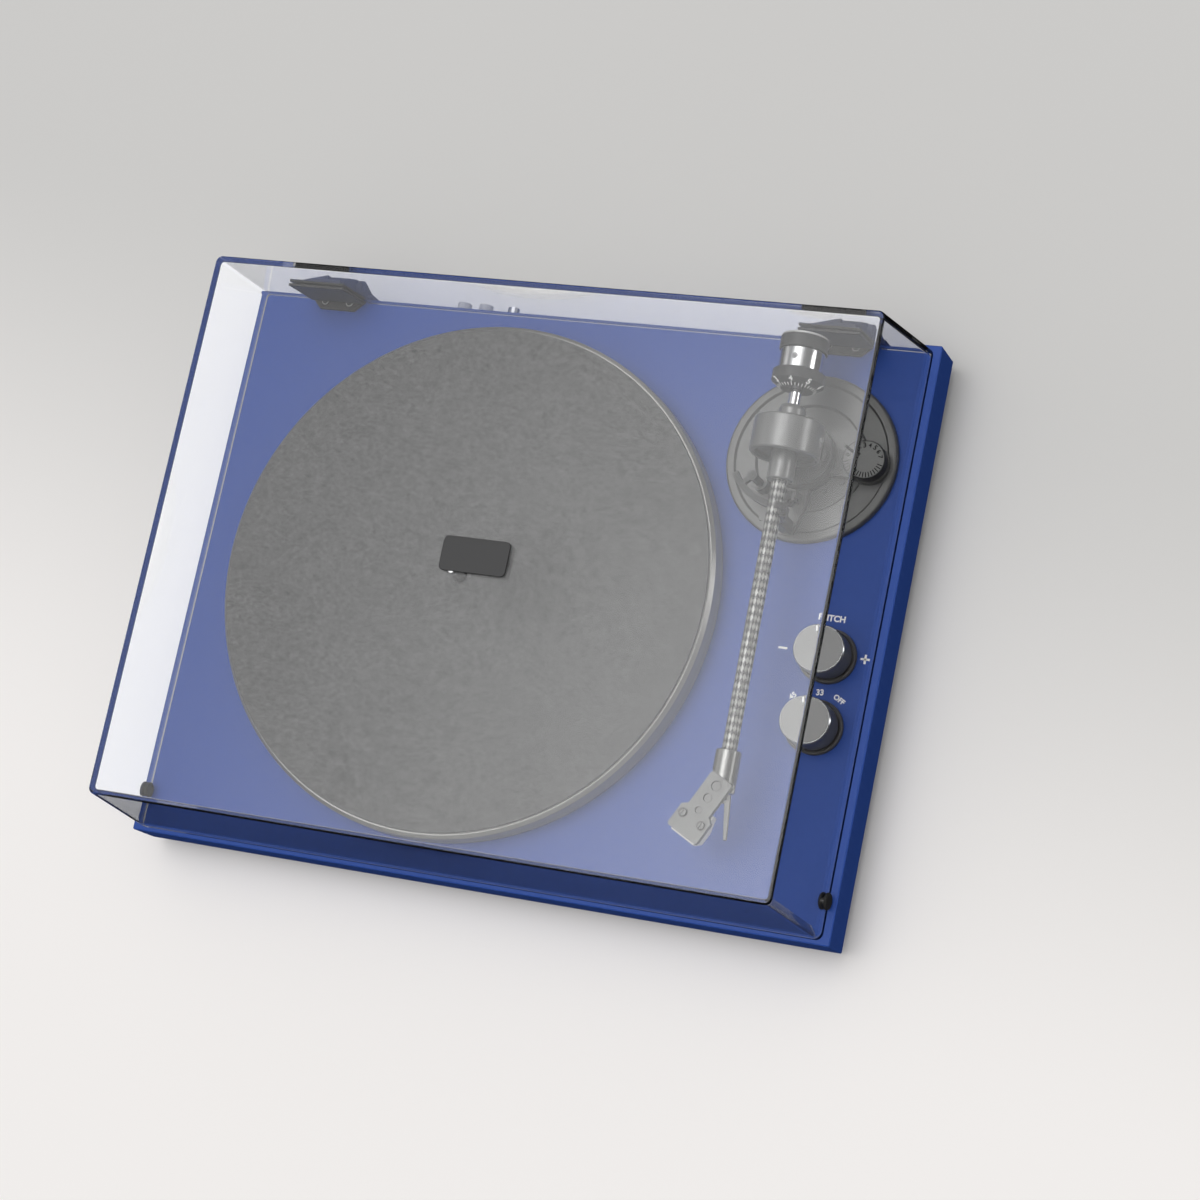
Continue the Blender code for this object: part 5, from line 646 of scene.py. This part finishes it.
# %% Knobs, bezels and pointers
KNOB_TOP = size_of("pitch_knob")[1]
STEP_TOP = KNOB_TOP - 0.9
POINTER_TURN, POINTER_OUT, POINTER_SIZE = radians(9.3), 0.0107, (0.0009, 0.0030, 0.00003)
knob_outline = [(0, KNOB_TOP), (12.4, KNOB_TOP), (12.4, STEP_TOP), (13.2, STEP_TOP), (13.2, 4.4), (12.5, 3.7),
                (12.5, 1.5), (0, 1.5)]
knob_edge_outline = [(12.4, KNOB_TOP), (12.6, KNOB_TOP), (13.2, KNOB_TOP - 0.6), (13.2, STEP_TOP), (12.4, STEP_TOP)]
bezel_outline = [(13.9, 3), (14.6, 3), (15.3, 2.3), (15.3, 0.3), (4.8, 0.3), (4.8, 1.2), (13.9, 1.2)]
for label, place in (("pitch", PITCH), ("speed", SPEED)):
    there, knob = on_deck(place), f"{label}_knob"
    turned(f"fine_{knob}", knob_outline, there, knob, 128, 0.12, closed=False, finish=f"brushed_grey_{label}")
    turned(f"{knob}_edge", knob_edge_outline, there, knob, 128, 0.1, finish="polished_steel", added=True)
    turned(f"fine_{label}_bezel", bezel_outline, there, f"{label}_bezel", 128, 0.25, finish="bezel_grey")
    bm = bmesh.new()
    bar(bm, there @ spin(POINTER_TURN) @ move((0, POINTER_OUT, KNOB_TOP / 1000 - 0.000005)), POINTER_SIZE)
    given(settled(f"{label}_pointer", bm), knob, "white_ink", added=True)
print("knob top", round(KNOB_TOP, 2), "mm above the deck")

# %% [markdown]
# ## The arm's turned pieces
# Drum, carrier, collar, shaft, weight and scale ring all share the arm's axis. Their outlines run from the
# back to the front along that axis. The drum's holes take the pivot screws and the swing post, and the
# carrier's two seats take the tube and the shaft.

# %% Gimbal drum, carrier and collar
drum_outline = [(17, 9.9), (18.5, 9.9), (19.4, 9), (19.4, -9), (18.5, -9.9), (17, -9.9)]
carrier_outline = [(0, 19.2), (4.7, 19.2), (6.4, 18.4), (7.3, 16.6), (7.3, 7), (16, 7), (16, -7), (7.2, -7),
                   (7.2, -22.8), (6.7, -23.3), (0, -23.3)]
across_arm, post_hole = ON_ARM @ spin(pi / 2, "Y"), move(PIVOT - Vector((0, 0, 0.0182)))
front_seat, rear_seat = ON_ARM @ move((0, 0, -0.0180)), ON_ARM @ move((0, 0, 0.0142))
turned("fine_gimbal_drum", drum_outline, ON_ARM, "gimbal_drum", 144, finish="drum_grey",
       holes=[(across_arm, 0.0030, 0.05), (post_hole, 0.0050, 0.0060)])
turned("fine_arm_carrier", carrier_outline, ON_ARM, "arm_carrier", ease=0.5, closed=False, finish="drum_grey",
       holes=[(front_seat, 0.0044, 0.0140), (rear_seat, 0.0036, 0.0110)])
dressed("headshell_collar", 0.0002, "collar_grey")
print("drum and carrier drilled, arm's axis at", [round(v, 4) for v in PIVOT])

# %% [markdown]
# Three round marks run along the headshell and two screws hold the cartridge. Each is edged by a hairline
# of shadow, painted as a thin dark ring in the groove. The screws of the two hinges catch the light
# instead, so their rings are a painted highlight: a bright ring.

# %% Painted shadow and highlight rings on the headshell and the hinges
HAIR_TOP, SCREW_TOP, SCREW_INSET, SCREW_ASIDE, HINGE_X = 0.06, 0.0033, 0.0067, 0.0080, 0.1583
HEAD = move((0.15036, -0.10216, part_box("headshell")[1].z - 0.0008)) @ spin(radians(-116.8))
# Columns: along and across the headshell in metres; outer and inner radius and depth in millimetres.
HEAD_RINGS = (
    (0.00051, 0, 2.90, 2.60, 0.5), (0.00829, 0, 2.50, 2.20, 0.5), (0.01630, 0, 2.10, 1.80, 0.5),
    (0.0221, 0.00635, 2.58, 2.12, 0.1), (0.0221, -0.00635, 2.58, 2.12, 0.1))


# A thin ring set round a groove or a screw, which paints a line of shade or of light there.
def hairline(name, place, solid, finish, steps, outer, inner, deep):
    outline = [(inner, HAIR_TOP), (outer, HAIR_TOP), (outer, -deep), (inner, -deep)]
    turned(name, outline, place, solid, steps, 0.01, finish=finish, added=True)


# Painted shadow: a dark ring round each mark and screw of the headshell.
for index, (along, across, *ring) in enumerate(HEAD_RINGS):
    place = HEAD @ move((along, across, 0))
    hairline(f"headshell_painted_shadow_ring_{index + 1}", place, "headshell", "dark_ink", 64, *ring)
# Painted highlight: a bright ring round each screw of the two hinges.
for side, middle in (("left", -HINGE_X), ("right", HINGE_X)):
    for index, aside in enumerate((-SCREW_ASIDE, SCREW_ASIDE)):
        place = move((DECK.x + middle + aside, plinth_high.y - SCREW_INSET, DECK.z + SCREW_TOP))
        name = f"hinge_screw_line_{side}_{index + 1}"
        hairline(name, place, f"hinge_base_{side}", "bright_edge", 48, 2.2, 1.8, 0.2)
print("hairline rings:", len(HEAD_RINGS), "on the headshell, 4 on the hinges")

# %% [markdown]
# The tube is long and plain: its look comes from the braid, which needs the lathe's own wrap. Behind the
# drum, the polished shaft carries the weight: a scale ring, a chromed body with its screw hole, and a
# matte cap whose rear edge is a pale ring painted as a highlight.

# %% Arm tube, shaft, counterweight and scale ring
weight_outline = [(5.9, 49.5), (12.4, 49.5), (12.4, 38.3), (8, 38.3), (8, 32), (5.9, 32)]
cap_outline = [(0, 59.5), (5, 59.5), (5, 58.3), (12, 58.3), (12, 57), (13.4, 57), (13.4, 49.8), (3.6, 49.8),
               (3.6, 56.8), (0, 56.8)]
ring_outline = [(8.3, 38), (14, 38), (14.6, 37.4), (14.6, 31.7), (9, 28), (3.9, 28), (3.9, 31.7), (8.3, 31.7)]
screw_hole = ON_ARM @ move((0, -0.0109, 0.0439)) @ spin(pi / 2, "X")
tube_outline = [(3.2, -11.3), (4.1, -11.3), (4.1, -179.3), (3.2, -179.3)]
shaft_outline = [(0, 50.5), (3.3, 50.5), (3.3, 9), (0, 9)]
cap_highlight_outline = [(12, 58.3), (12.7, 58.3), (13.4, 57), (12, 57)]
turned("woven_arm_tube", tube_outline, ON_ARM, "arm_tube", 48, 0.05)
turned("fine_weight_shaft", shaft_outline, ON_ARM, "weight_shaft", 64, closed=False)
turned("fine_counterweight", weight_outline, ON_ARM, "counterweight", 160, 0.35, finish="weight_chrome",
       holes=[(screw_hole, 0.0018, 0.0034)])
turned("fine_weight_cap", cap_outline, ON_ARM, "weight_cap", 128, 0.2, closed=False)
# Painted highlight: a pale ring on the cap's rear edge stands for the light that it catches.
turned("weight_cap_painted_highlight", cap_highlight_outline, ON_ARM, "weight_cap", 128, 0.1, finish="bright_edge", added=True)
turned("fine_scale_ring", ring_outline, ON_ARM, "scale_ring", 144, 0.2, sharp=24, finish="dark_plastic")
print("arm tube, shaft, weight, cap and scale ring made")

# %% [markdown]
# The anti-skate dial is a black button with a pale turned plate let into its top, which carries the scale.

# %% Anti-skate dial
DIAL_TOP = 14.0
dial_outline = [(0, DIAL_TOP), (10.5, DIAL_TOP), (11.1, 13.4), (11.1, 7.6), (3, 7.6), (3, 5.1), (0, 5.1)]
plate_outline = [(0, DIAL_TOP + 0.01), (10.4, DIAL_TOP + 0.01), (10.4, 13.9), (0, 13.9)]
turned("fine_anti_skate_dial", dial_outline, on_deck(DIAL), "anti_skate_dial", 128, closed=False)
turned("anti_skate_plate", plate_outline, on_deck(DIAL), "anti_skate_dial", 96, 0.01, closed=False,
       finish="dial_face", added=True)
print("dial top", DIAL_TOP, "mm above the deck")

# %% [markdown]
# ## Small turned pieces out of sight
# Feet, sub-platter, sockets and bumpers are turned too. The sockets' outlines run as deep as their solids
# do. The bumpers lean with the cover's side walls, which they go through.

# %% Feet and sub-platter
foot_outline = [(0, 9.5), (17.8, 9.5), (19, 8.3), (19, 4.2), (16.5, 3), (16.5, 0.6), (15.9, 0), (0, 0)]
sub_outline = [(3.9, 12.2), (65, 12.2), (65, 10.5), (64.2, 10.5), (64.2, 5.9), (65, 5.9), (65, 4.2), (3.9, 4.2)]
for corner in ("front_left", "front_right", "back_left", "back_right"):
    middle = middle_of(f"foot_{corner}")
    place = move((middle.x, middle.y, 0))
    turned(f"rubber_foot_{corner}", foot_outline, place, f"foot_{corner}", 64, 0.6, closed=False)
turned("fine_sub_platter", sub_outline, on_deck(PLATTER), "sub_platter", 128, 0.2)
print("feet at the four corners, sub-platter under the platter")

# %% Sockets at the back and bumpers through the cover
SIDES = (("left", -1), ("right", 1))
LEAN = atan2(0.0070, 0.0752)
bumper_outline = [(0, 3.4), (4.2, 3.4), (4.7, 2.9), (4.7, 1.8), (2.2, 1.8), (2.2, -1.8), (4.7, -1.8),
                  (4.7, -2.9), (4.2, -3.4), (0, -3.4)]
for side, sign in SIDES:
    jack = f"phono_jack_{side}"
    low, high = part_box(jack)
    place = move(((low.x + high.x) / 2, low.y, (low.z + high.z) / 2)) @ spin(-pi / 2, "X")
    reach = (high.y - low.y) * 1000
    jack_outline = [(1.7, reach), (3, reach), (3, 1.5), (5.6, 1.5), (5.6, 0), (1.7, 0)]
    collar_outline = [(3, reach - 0.2), (4.2, reach - 0.2), (4.2, 1.7), (3, 1.7)]
    turned(f"fine_{jack}", jack_outline, place, jack, 48, 0.2)
    turned(f"phono_collar_{side}", collar_outline, place, jack, 48, finish="white_plastic", added=True)
bumper_places = {}
for side, sign in SIDES:
    name = f"bumper_{side}"
    bumper_places[side] = move(middle_of(name)) @ spin(sign * (pi / 2 - LEAN), "Y")
    turned(f"rubber_{name}", bumper_outline, bumper_places[side], name, 48, closed=False)
print("sockets reach", round(reach, 1), "mm; bumpers lean", round(degrees(LEAN), 1), "degrees")

# %% [markdown]
# ## The clear cover
# The cover is a moulded box, open below, with drafted walls 3 mm thick. It is built as rings of rounded
# rectangles: up the outside, round the top edge, then an inner surface the same way, joined at the lower
# rim. Rings give exact control of the corner and edge radii, which is where clear sheet shows itself.

# %% Rings of the cover
HALF_X = (plinth_high.x - plinth_low.x) / 2
HALF_Y = (plinth_high.y - plinth_low.y) / 2
LID_LOW, LID_TOP, WALL = 0.0008, 0.0760, 0.0030
SIDE_LOW, SIDE_TOP, END_LOW, END_TOP = 0.0042, 0.0112, 0.0023, 0.0080


def rounded_ring(half_x, half_y, corner, height, steps=6):
    """Points of a rounded rectangle about the deck's middle, at a height above the deck."""
    points = []
    for index, (sx, sy) in enumerate(((1, 1), (-1, 1), (-1, -1), (1, -1))):
        for step in range(steps + 1):
            turn = pi / 2 * (index + step / steps)
            points.append(Vector((sx * (half_x - corner) + corner * cos(turn),
                                  sy * (half_y - corner) + corner * sin(turn), height)) + DECK)
    return points


def cover_rings(inset, corner, top, edge, steps):
    """Rings up a drafted wall, set in from the outer face, then round its top edge."""
    rings = []
    places = [(height, 0.0) for height in (LID_LOW, 0.0010, 0.010, 0.030, 0.055, top - edge)]
    turns = [pi / 2 * step / steps for step in range(1, steps + 1)]
    places += [(top - edge + edge * sin(turn), edge * (1 - cos(turn))) for turn in turns]
    for height, pull in places:
        share = (min(height, top - edge) - LID_LOW) / (LID_TOP - LID_LOW)
        half_x = HALF_X - SIDE_LOW - (SIDE_TOP - SIDE_LOW) * share - inset
        half_y = HALF_Y - END_LOW - (END_TOP - END_LOW) * share - inset
        rings.append(rounded_ring(half_x - pull, half_y - pull, corner - pull, height))
    return rings


outer = cover_rings(0.0, 0.0040, LID_TOP, 0.0012, 5)
inner = cover_rings(WALL, 0.0022, LID_TOP - WALL, 0.0008, 4)
print("cover rings:", len(outer), "outside and", len(inner), "inside")

# %% Cover shell
bm = bmesh.new()
rims = []
for rings in (outer, inner):
    verts = [[bm.verts.new(point) for point in ring] for ring in rings]
    for lower, upper in zip(verts, verts[1:]):
        for index in range(len(lower)):
            on = (index + 1) % len(lower)
            bm.faces.new((lower[index], lower[on], upper[on], upper[index]))
    bm.faces.new(verts[-1])
    rims.append(verts[0])
for index in range(len(rims[0])):
    on = (index + 1) % len(rims[0])
    bm.faces.new((rims[0][on], rims[0][index], rims[1][index], rims[1][on]))
bmesh.ops.recalc_face_normals(bm, faces=bm.faces)
cover = settled("clear_cover", bm, 50)
print("cover faces:", len(cover.data.polygons))

# %% [markdown]
# The rear wall is notched where the two hinges grip it, and each side wall has a hole for its bumper.

# %% Notches and holes in the cover
NOTCH_LEFT, NOTCH_RIGHT, NOTCH_FRONT, NOTCH_BACK, NOTCH_TOP = -0.0175, 0.0199, 0.10, 0.18, 0.0076
notches = []
for middle in (-HINGE_X, HINGE_X):
    lowest = Vector((middle + NOTCH_LEFT, NOTCH_FRONT, DECK.z - 0.001))
    highest = Vector((middle + NOTCH_RIGHT, NOTCH_BACK, DECK.z + NOTCH_TOP))
    bm = bmesh.new()
    bar(bm, move((lowest + highest) / 2), highest - lowest)
    notches.append(linked("notch", as_mesh("notch", bm)))
cover = drilled(carved(cover, notches), [(place, 0.0025, 0.0090) for place in bumper_places.values()], 50)
given(cover, "dust_cover")
print("cover faces after cutting:", len(cover.data.polygons))

# %% [markdown]
# ## Marks that repeat
# Ticks round a dial and ribs on the cue bar are the same small bar set out on an arc. A Geometry Nodes
# tree makes them: an arc curve is resampled to the count, a box is instanced on its points and turned
# with the curve, then everything is made real and given its ink.

# %% Geometry Nodes tree for bars on an arc
BARS, take, give = new_group(
    "bars_on_an_arc",
    [("Radius", "Float", 0.01), ("Start", "Float", 0.0), ("Sweep", "Float", 6.283), ("Long", "Float", 0.001),
     ("Wide", "Float", 0.0002), ("Thick", "Float", 0.0001), ("Count", "Int", 12), ("Finish", "Material")],
    [("Geometry", "Geometry")], "GeometryNodeTree")
arc = node(BARS, "GeometryNodeCurveArc", {
    "Resolution": 180, "Radius": take["Radius"], "Start Angle": take["Start"], "Sweep Angle": take["Sweep"]})
points = node(BARS, "GeometryNodeCurveToPoints", {"Curve": arc["Curve"], "Count": take["Count"]})
size = node(BARS, "ShaderNodeCombineXYZ", {0: take["Wide"], 1: take["Long"], 2: take["Thick"]})
box = node(BARS, "GeometryNodeMeshCube", {"Size": size[0]})
place = node(BARS, "GeometryNodeInputPosition")
face = node(BARS, "FunctionNodeAlignEulerToVector", {"Vector": place[0]}, axis="Y", pivot_axis="Z")
spread = node(BARS, "GeometryNodeInstanceOnPoints", {
    "Points": points["Points"], "Instance": box["Mesh"], "Rotation": face[0]})
real = node(BARS, "GeometryNodeRealizeInstances", {0: spread[0]})
inked = node(BARS, "GeometryNodeSetMaterial", {"Geometry": real[0], "Material": take["Finish"]})
feed(give, {0: inked[0]})
print("bars tree:", len(BARS.nodes), "nodes")


# %% Ticks and ribs
def bars(name, solid, place, finish, **sizes):
    """One ring of bars, made by the tree, turned into a plain mesh and put in its place."""
    piece = linked(name, bpy.data.meshes.new(name))
    step = piece.modifiers.new("bars", "NODES")
    step.node_group = BARS
    wanted = dict(sizes, Finish=finishes[finish])
    for item in BARS.interface.items_tree:
        if item.in_out == "INPUT" and item.name in wanted:
            step[item.identifier] = wanted[item.name]
    flattened(piece)
    piece.data.transform(place)
    return given(piece, solid, finish, added=True)


dial_top = on_deck(DIAL) @ move((0, 0, DIAL_TOP / 1000 + 0.00002))
ticks = bars("dial_ticks", "anti_skate_dial", dial_top, "dark_ink", Radius=0.0087, Start=radians(-165),
             Sweep=radians(150), Long=0.0030, Wide=0.00055, Thick=0.00006, Count=15)
cue_place = move((PIVOT.x, PIVOT.y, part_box("cue_lift")[1].z + 0.00004))
ribs = bars("cue_ribs", "cue_lift", cue_place, "dark_plastic", Radius=0.0349, Start=radians(213),
            Sweep=radians(54), Long=0.0034, Wide=0.0005, Thick=0.00022, Count=27)
print("tick faces:", len(ticks.data.polygons), "rib faces:", len(ribs.data.polygons))

# %% [markdown]
# The scale ring's ticks lie on a cone that faces forward, so they are set out with plain mesh code: each
# bar is drawn flat, tipped to the cone's slope and turned to its own place round the arm's axis. Every
# fourth tick is longer and has a number.

# %% Ticks on the scale ring
CONE_IN, CONE_OUT, CONE_FRONT, CONE_BACK, TICKS = 0.0090, 0.0146, 0.0280, 0.0317, 32
CONE_LEAN = atan2(CONE_OUT - CONE_IN, CONE_BACK - CONE_FRONT)
FLIP = Matrix.Diagonal((-1, 1, -1, 1))


def on_cone(angle, share):
    """A frame on the scale ring's front cone: X round the ring, Y outwards, Z off the surface."""
    radius = CONE_IN + (CONE_OUT - CONE_IN) * share
    along = CONE_FRONT + (CONE_BACK - CONE_FRONT) * share
    return ON_ARM @ spin(angle) @ move((0, radius, along)) @ spin(pi / 2 - CONE_LEAN, "X") @ FLIP


bm = bmesh.new()
for index in range(TICKS):
    long = 0.0030 if index % 4 == 0 else 0.0020
    bar(bm, on_cone(2 * pi * index / TICKS, 0.03 + long / 0.0067 / 2), (0.00036, long, 0.00012))
given(settled("scale_ticks", bm), "scale_ring", "white_ink", added=True)
print("scale ticks:", TICKS, "on a cone leaning", round(degrees(CONE_LEAN), 1), "degrees")

# %% [markdown]
# Print is thin raised lettering. The plain font is thickened by an offset, so that its thin strokes still
# show from far away, and each word is sized to a measured width.


# %% Lettering
def lettering(name, words, width, place, solid, weight=0.034, finish="white_ink", thick=0.00003):
    """Words as a thin raised print: made a mesh first, then sized to a width and placed."""
    curve = bpy.data.curves.new(name, "FONT")
    curve.body, curve.size, curve.offset, curve.resolution_u = words, 1, weight, 6
    curve.align_x, curve.align_y = "CENTER", "CENTER"
    holder = linked(name + "_text", curve)
    mesh = evaluated_mesh(holder)
    bpy.data.objects.remove(holder, do_unlink=True)
    xs = [vert.co.x for vert in mesh.vertices]
    ys = [vert.co.y for vert in mesh.vertices]
    scale = width / (max(xs) - min(xs))
    centre = move((-(max(xs) + min(xs)) / 2, -(max(ys) + min(ys)) / 2, 0))
    bm = bmesh.new()
    bm.from_mesh(mesh)
    bmesh.ops.remove_doubles(bm, verts=bm.verts, dist=0.0001)
    top = bmesh.ops.extrude_face_region(bm, geom=bm.faces[:])
    lifted = [item for item in top["geom"] if isinstance(item, bmesh.types.BMVert)]
    bmesh.ops.translate(bm, vec=(0, 0, thick / scale), verts=lifted)
    bmesh.ops.recalc_face_normals(bm, faces=bm.faces)
    bmesh.ops.transform(bm, matrix=place @ Matrix.Scale(scale, 4) @ centre, verts=bm.verts)
    return given(settled(name, bm, 30), solid, finish, added=True)


NUMBERS, DIAL_NUMBERS_AT, DIAL_FIRST, DIAL_STEP = 8, 0.0084, 170, 22.0
for number in range(NUMBERS):
    place = on_cone(2 * pi * number / NUMBERS, 0.75)
    lettering(f"scale_number_{number}", str(number), 0.0023, place, "scale_ring", 0.035)
for number in range(NUMBERS):
    turn = radians(DIAL_FIRST - DIAL_STEP * number)
    place = dial_top @ move((DIAL_NUMBERS_AT * cos(turn), DIAL_NUMBERS_AT * sin(turn), 0)) @ spin(turn - pi / 2)
    lettering(f"dial_number_{number}", str(number), 0.0017, place, "anti_skate_dial", 0.03, "dark_ink")
print("numbers 0 to", NUMBERS - 1, "on the scale ring and the dial")

# %% [markdown]
# ## Markings on the deck
# White print beside the two knobs: a minus bar, a plus sign, the pitch label, and the three places of the
# speed switch, which stand on an arc about its knob.


# %% Deck markings
def on_top(x, y, turn=0.0):
    """A place just above the deck's top, from the deck's middle in metres."""
    return move(DECK + Vector((x, y, 0.00002))) @ spin(turn)


lettering("pitch_label", "PITCH", 0.0130, on_top(0.1804, 0.0083), "plinth")
for words, angle, radius, width in (("45", 133.0, 0.0213, 0.0042), ("33", 95.5, 0.0197, 0.0042),
                                    ("OFF", 60.5, 0.0196, 0.0070)):
    turn = radians(angle)
    place = on_top(SPEED.x - DECK.x + radius * cos(turn), SPEED.y - DECK.y + radius * sin(turn), turn - pi / 2)
    lettering(f"speed_label_{words}", words, width, place, "plinth")
bm = bmesh.new()
LONG, WIDE, THICK, MINUS, PLUS = 0.0052, 0.0012, 0.00004, (0.1571, -0.0116), (0.2020, -0.0120)
for place, size in ((MINUS, (LONG, WIDE, THICK)), (PLUS, (LONG, WIDE, THICK)), (PLUS, (WIDE, LONG, THICK))):
    bar(bm, on_top(*place), size)
given(settled("pitch_signs", bm), "plinth", "white_ink", added=True)
print("deck markings made")

# %% [markdown]
# ## The floor
# The scene is a plain pale floor, painted lighter in front than behind as a painted falloff of the
# light. Seen through two sheets of the cover it is a little brighter, and light bounced from it is
# weaker. In mirrors it is dark, as black cards beside a real set would make it, so that chrome and clear
# edges keep their contrast.

# %% Floor
TWO_SHEETS, MIRRORED = 3.5, 0.5
bm = bmesh.new()
bmesh.ops.create_grid(bm, x_segments=1, y_segments=1, size=6)
floor = linked("floor", as_mesh("floor", bm))
tree, shader = bare_finish("pale_floor", (0.8, 0.79, 0.78), 0.9, Specular_IOR_Level=0.1)
x, y, z = parted(centred(tree))
# Painted shade: the floor's colour darkens towards the back, a painted falloff of the light.
depth = plus(plus(y, times(x, 0.15)), times(noise_of(centred(tree), 3.0, 2.0), 0.02))
colour = ramp(plus(depth, 0.5), (0.30, (0.925, 0.900, 0.882)), (0.72, (0.635, 0.628, 0.615)),
              interpolation="EASE")
seen = node(tree, "ShaderNodeLightPath")
for label, factor, limit, tint in (
    ("Transmission Depth", 1.0, TWO_SHEETS, (0.97, 0.965, 0.965, 1)), ("Diffuse Depth", 0.45, 0.5, (0, 0, 0, 1)),
    ("Glossy Depth", 1.0, MIRRORED, (0.016, 0.016, 0.018, 1))):
    past = times(over(seen[label], limit), factor)
    colour = node(tree, "ShaderNodeMix", {"Factor": past, 6: colour, 7: tint}, data_type="RGBA")[2]
behind = times(over(seen["Transmission Depth"], TWO_SHEETS),
               maths("LESS_THAN", seen["Glossy Depth"], MIRRORED))
lift = grey(times(behind, 0.20))
feed(shader, {"Base Color": colour, "Emission Color": lift, "Emission Strength": 1.0})
floor.data.materials.append(finishes["pale_floor"])
print("floor:", len(tree.nodes), "nodes")

# %% [markdown]
# ## The light
# A soft bright sky lights everything, so no lamp has to be placed. It is brightest where the cover mirrors
# it to the camera, which gives the pale veil over the deck, and fades to the sides. Mirrors see a darker
# even sky and four soft cards, one for each way that a chromed edge turns.

# %% Sky
EVEN, EVEN_IN_MIRRORS = 0.50, 0.11
# Each glow: direction, spread in degrees, strength.
MAIN_GLOW = ((-0.144, 0.048, 0.988), 20.6, 3.82)
CARDS = (((0.93, 0.29, 0.20), 8, 4.0), ((-0.90, 0.15, 0.35), 12, 0.9), ((-0.15, 0.97, 0.12), 12, 1.6),
         ((-0.35, -0.85, 0.40), 10, 0.7))
world = bpy.context.scene.world = bpy.data.worlds.new("soft_sky")
world.use_nodes = True
tree = world.node_tree
direction = node(tree, "ShaderNodeTexCoord")["Generated"]
seen = node(tree, "ShaderNodeLightPath")


def glow(towards, spread, strength):
    """A soft round patch of light about one direction: strength times a bell curve of the angle."""
    sides = {0: direction, 1: Vector(towards).normalized()}
    cosine = node(tree, "ShaderNodeVectorMath", sides, operation="DOT_PRODUCT")["Value"]
    angle = maths("ARCCOSINE", maths("MINIMUM", cosine, 0.99999))
    bell = maths("DIVIDE", angle, radians(spread))
    return times(maths("EXPONENT", times(times(bell, bell), -1.0)), strength)


in_mirror = over(seen["Glossy Depth"], MIRRORED)
even = maths("SUBTRACT", EVEN, times(in_mirror, EVEN - EVEN_IN_MIRRORS))
light = plus(even, glow(*MAIN_GLOW))
cards = glow(*CARDS[0])
for card in CARDS[1:]:
    cards = plus(cards, glow(*card))
sky = grey(plus(light, times(cards, in_mirror)))
sides = {"Factor": seen["Is Camera Ray"], 6: sky, 7: (0.60, 0.595, 0.585, 1)}
shown = node(tree, "ShaderNodeMix", sides, data_type="RGBA")[2]
feed(tree.nodes["Background"], {"Color": shown, "Strength": 1.0})
print("sky:", len(tree.nodes), "nodes")

# %% [markdown]
# ## The camera
# The lens is long and looks down from the front right, so the deck shows almost as a plan with its two
# near walls. The picture is square and the frame is not shifted.

# %% Camera
CAMERA_PLACE, LOOKS, LEANS = (0.66694, -0.3207, 1.52528), (-0.3778, 0.1938, -0.9054), (-0.1164, 0.9601, 0.2541)
forward = Vector(LOOKS).normalized()
right = forward.cross(Vector(LEANS)).normalized()
up = right.cross(forward)
lens = bpy.data.cameras.new("camera")
lens.lens, lens.sensor_width, lens.clip_start, lens.clip_end = 88.102, 36, 0.05, 50
camera = linked("camera", lens)
camera.matrix_world = move(CAMERA_PLACE) @ Matrix((right, up, -forward)).transposed().to_4x4()
bpy.context.scene.camera = camera
bpy.context.scene.view_settings.view_transform = "Standard"
print("camera", round((Vector(CAMERA_PLACE) - DECK).length, 2), "m from the deck's middle")
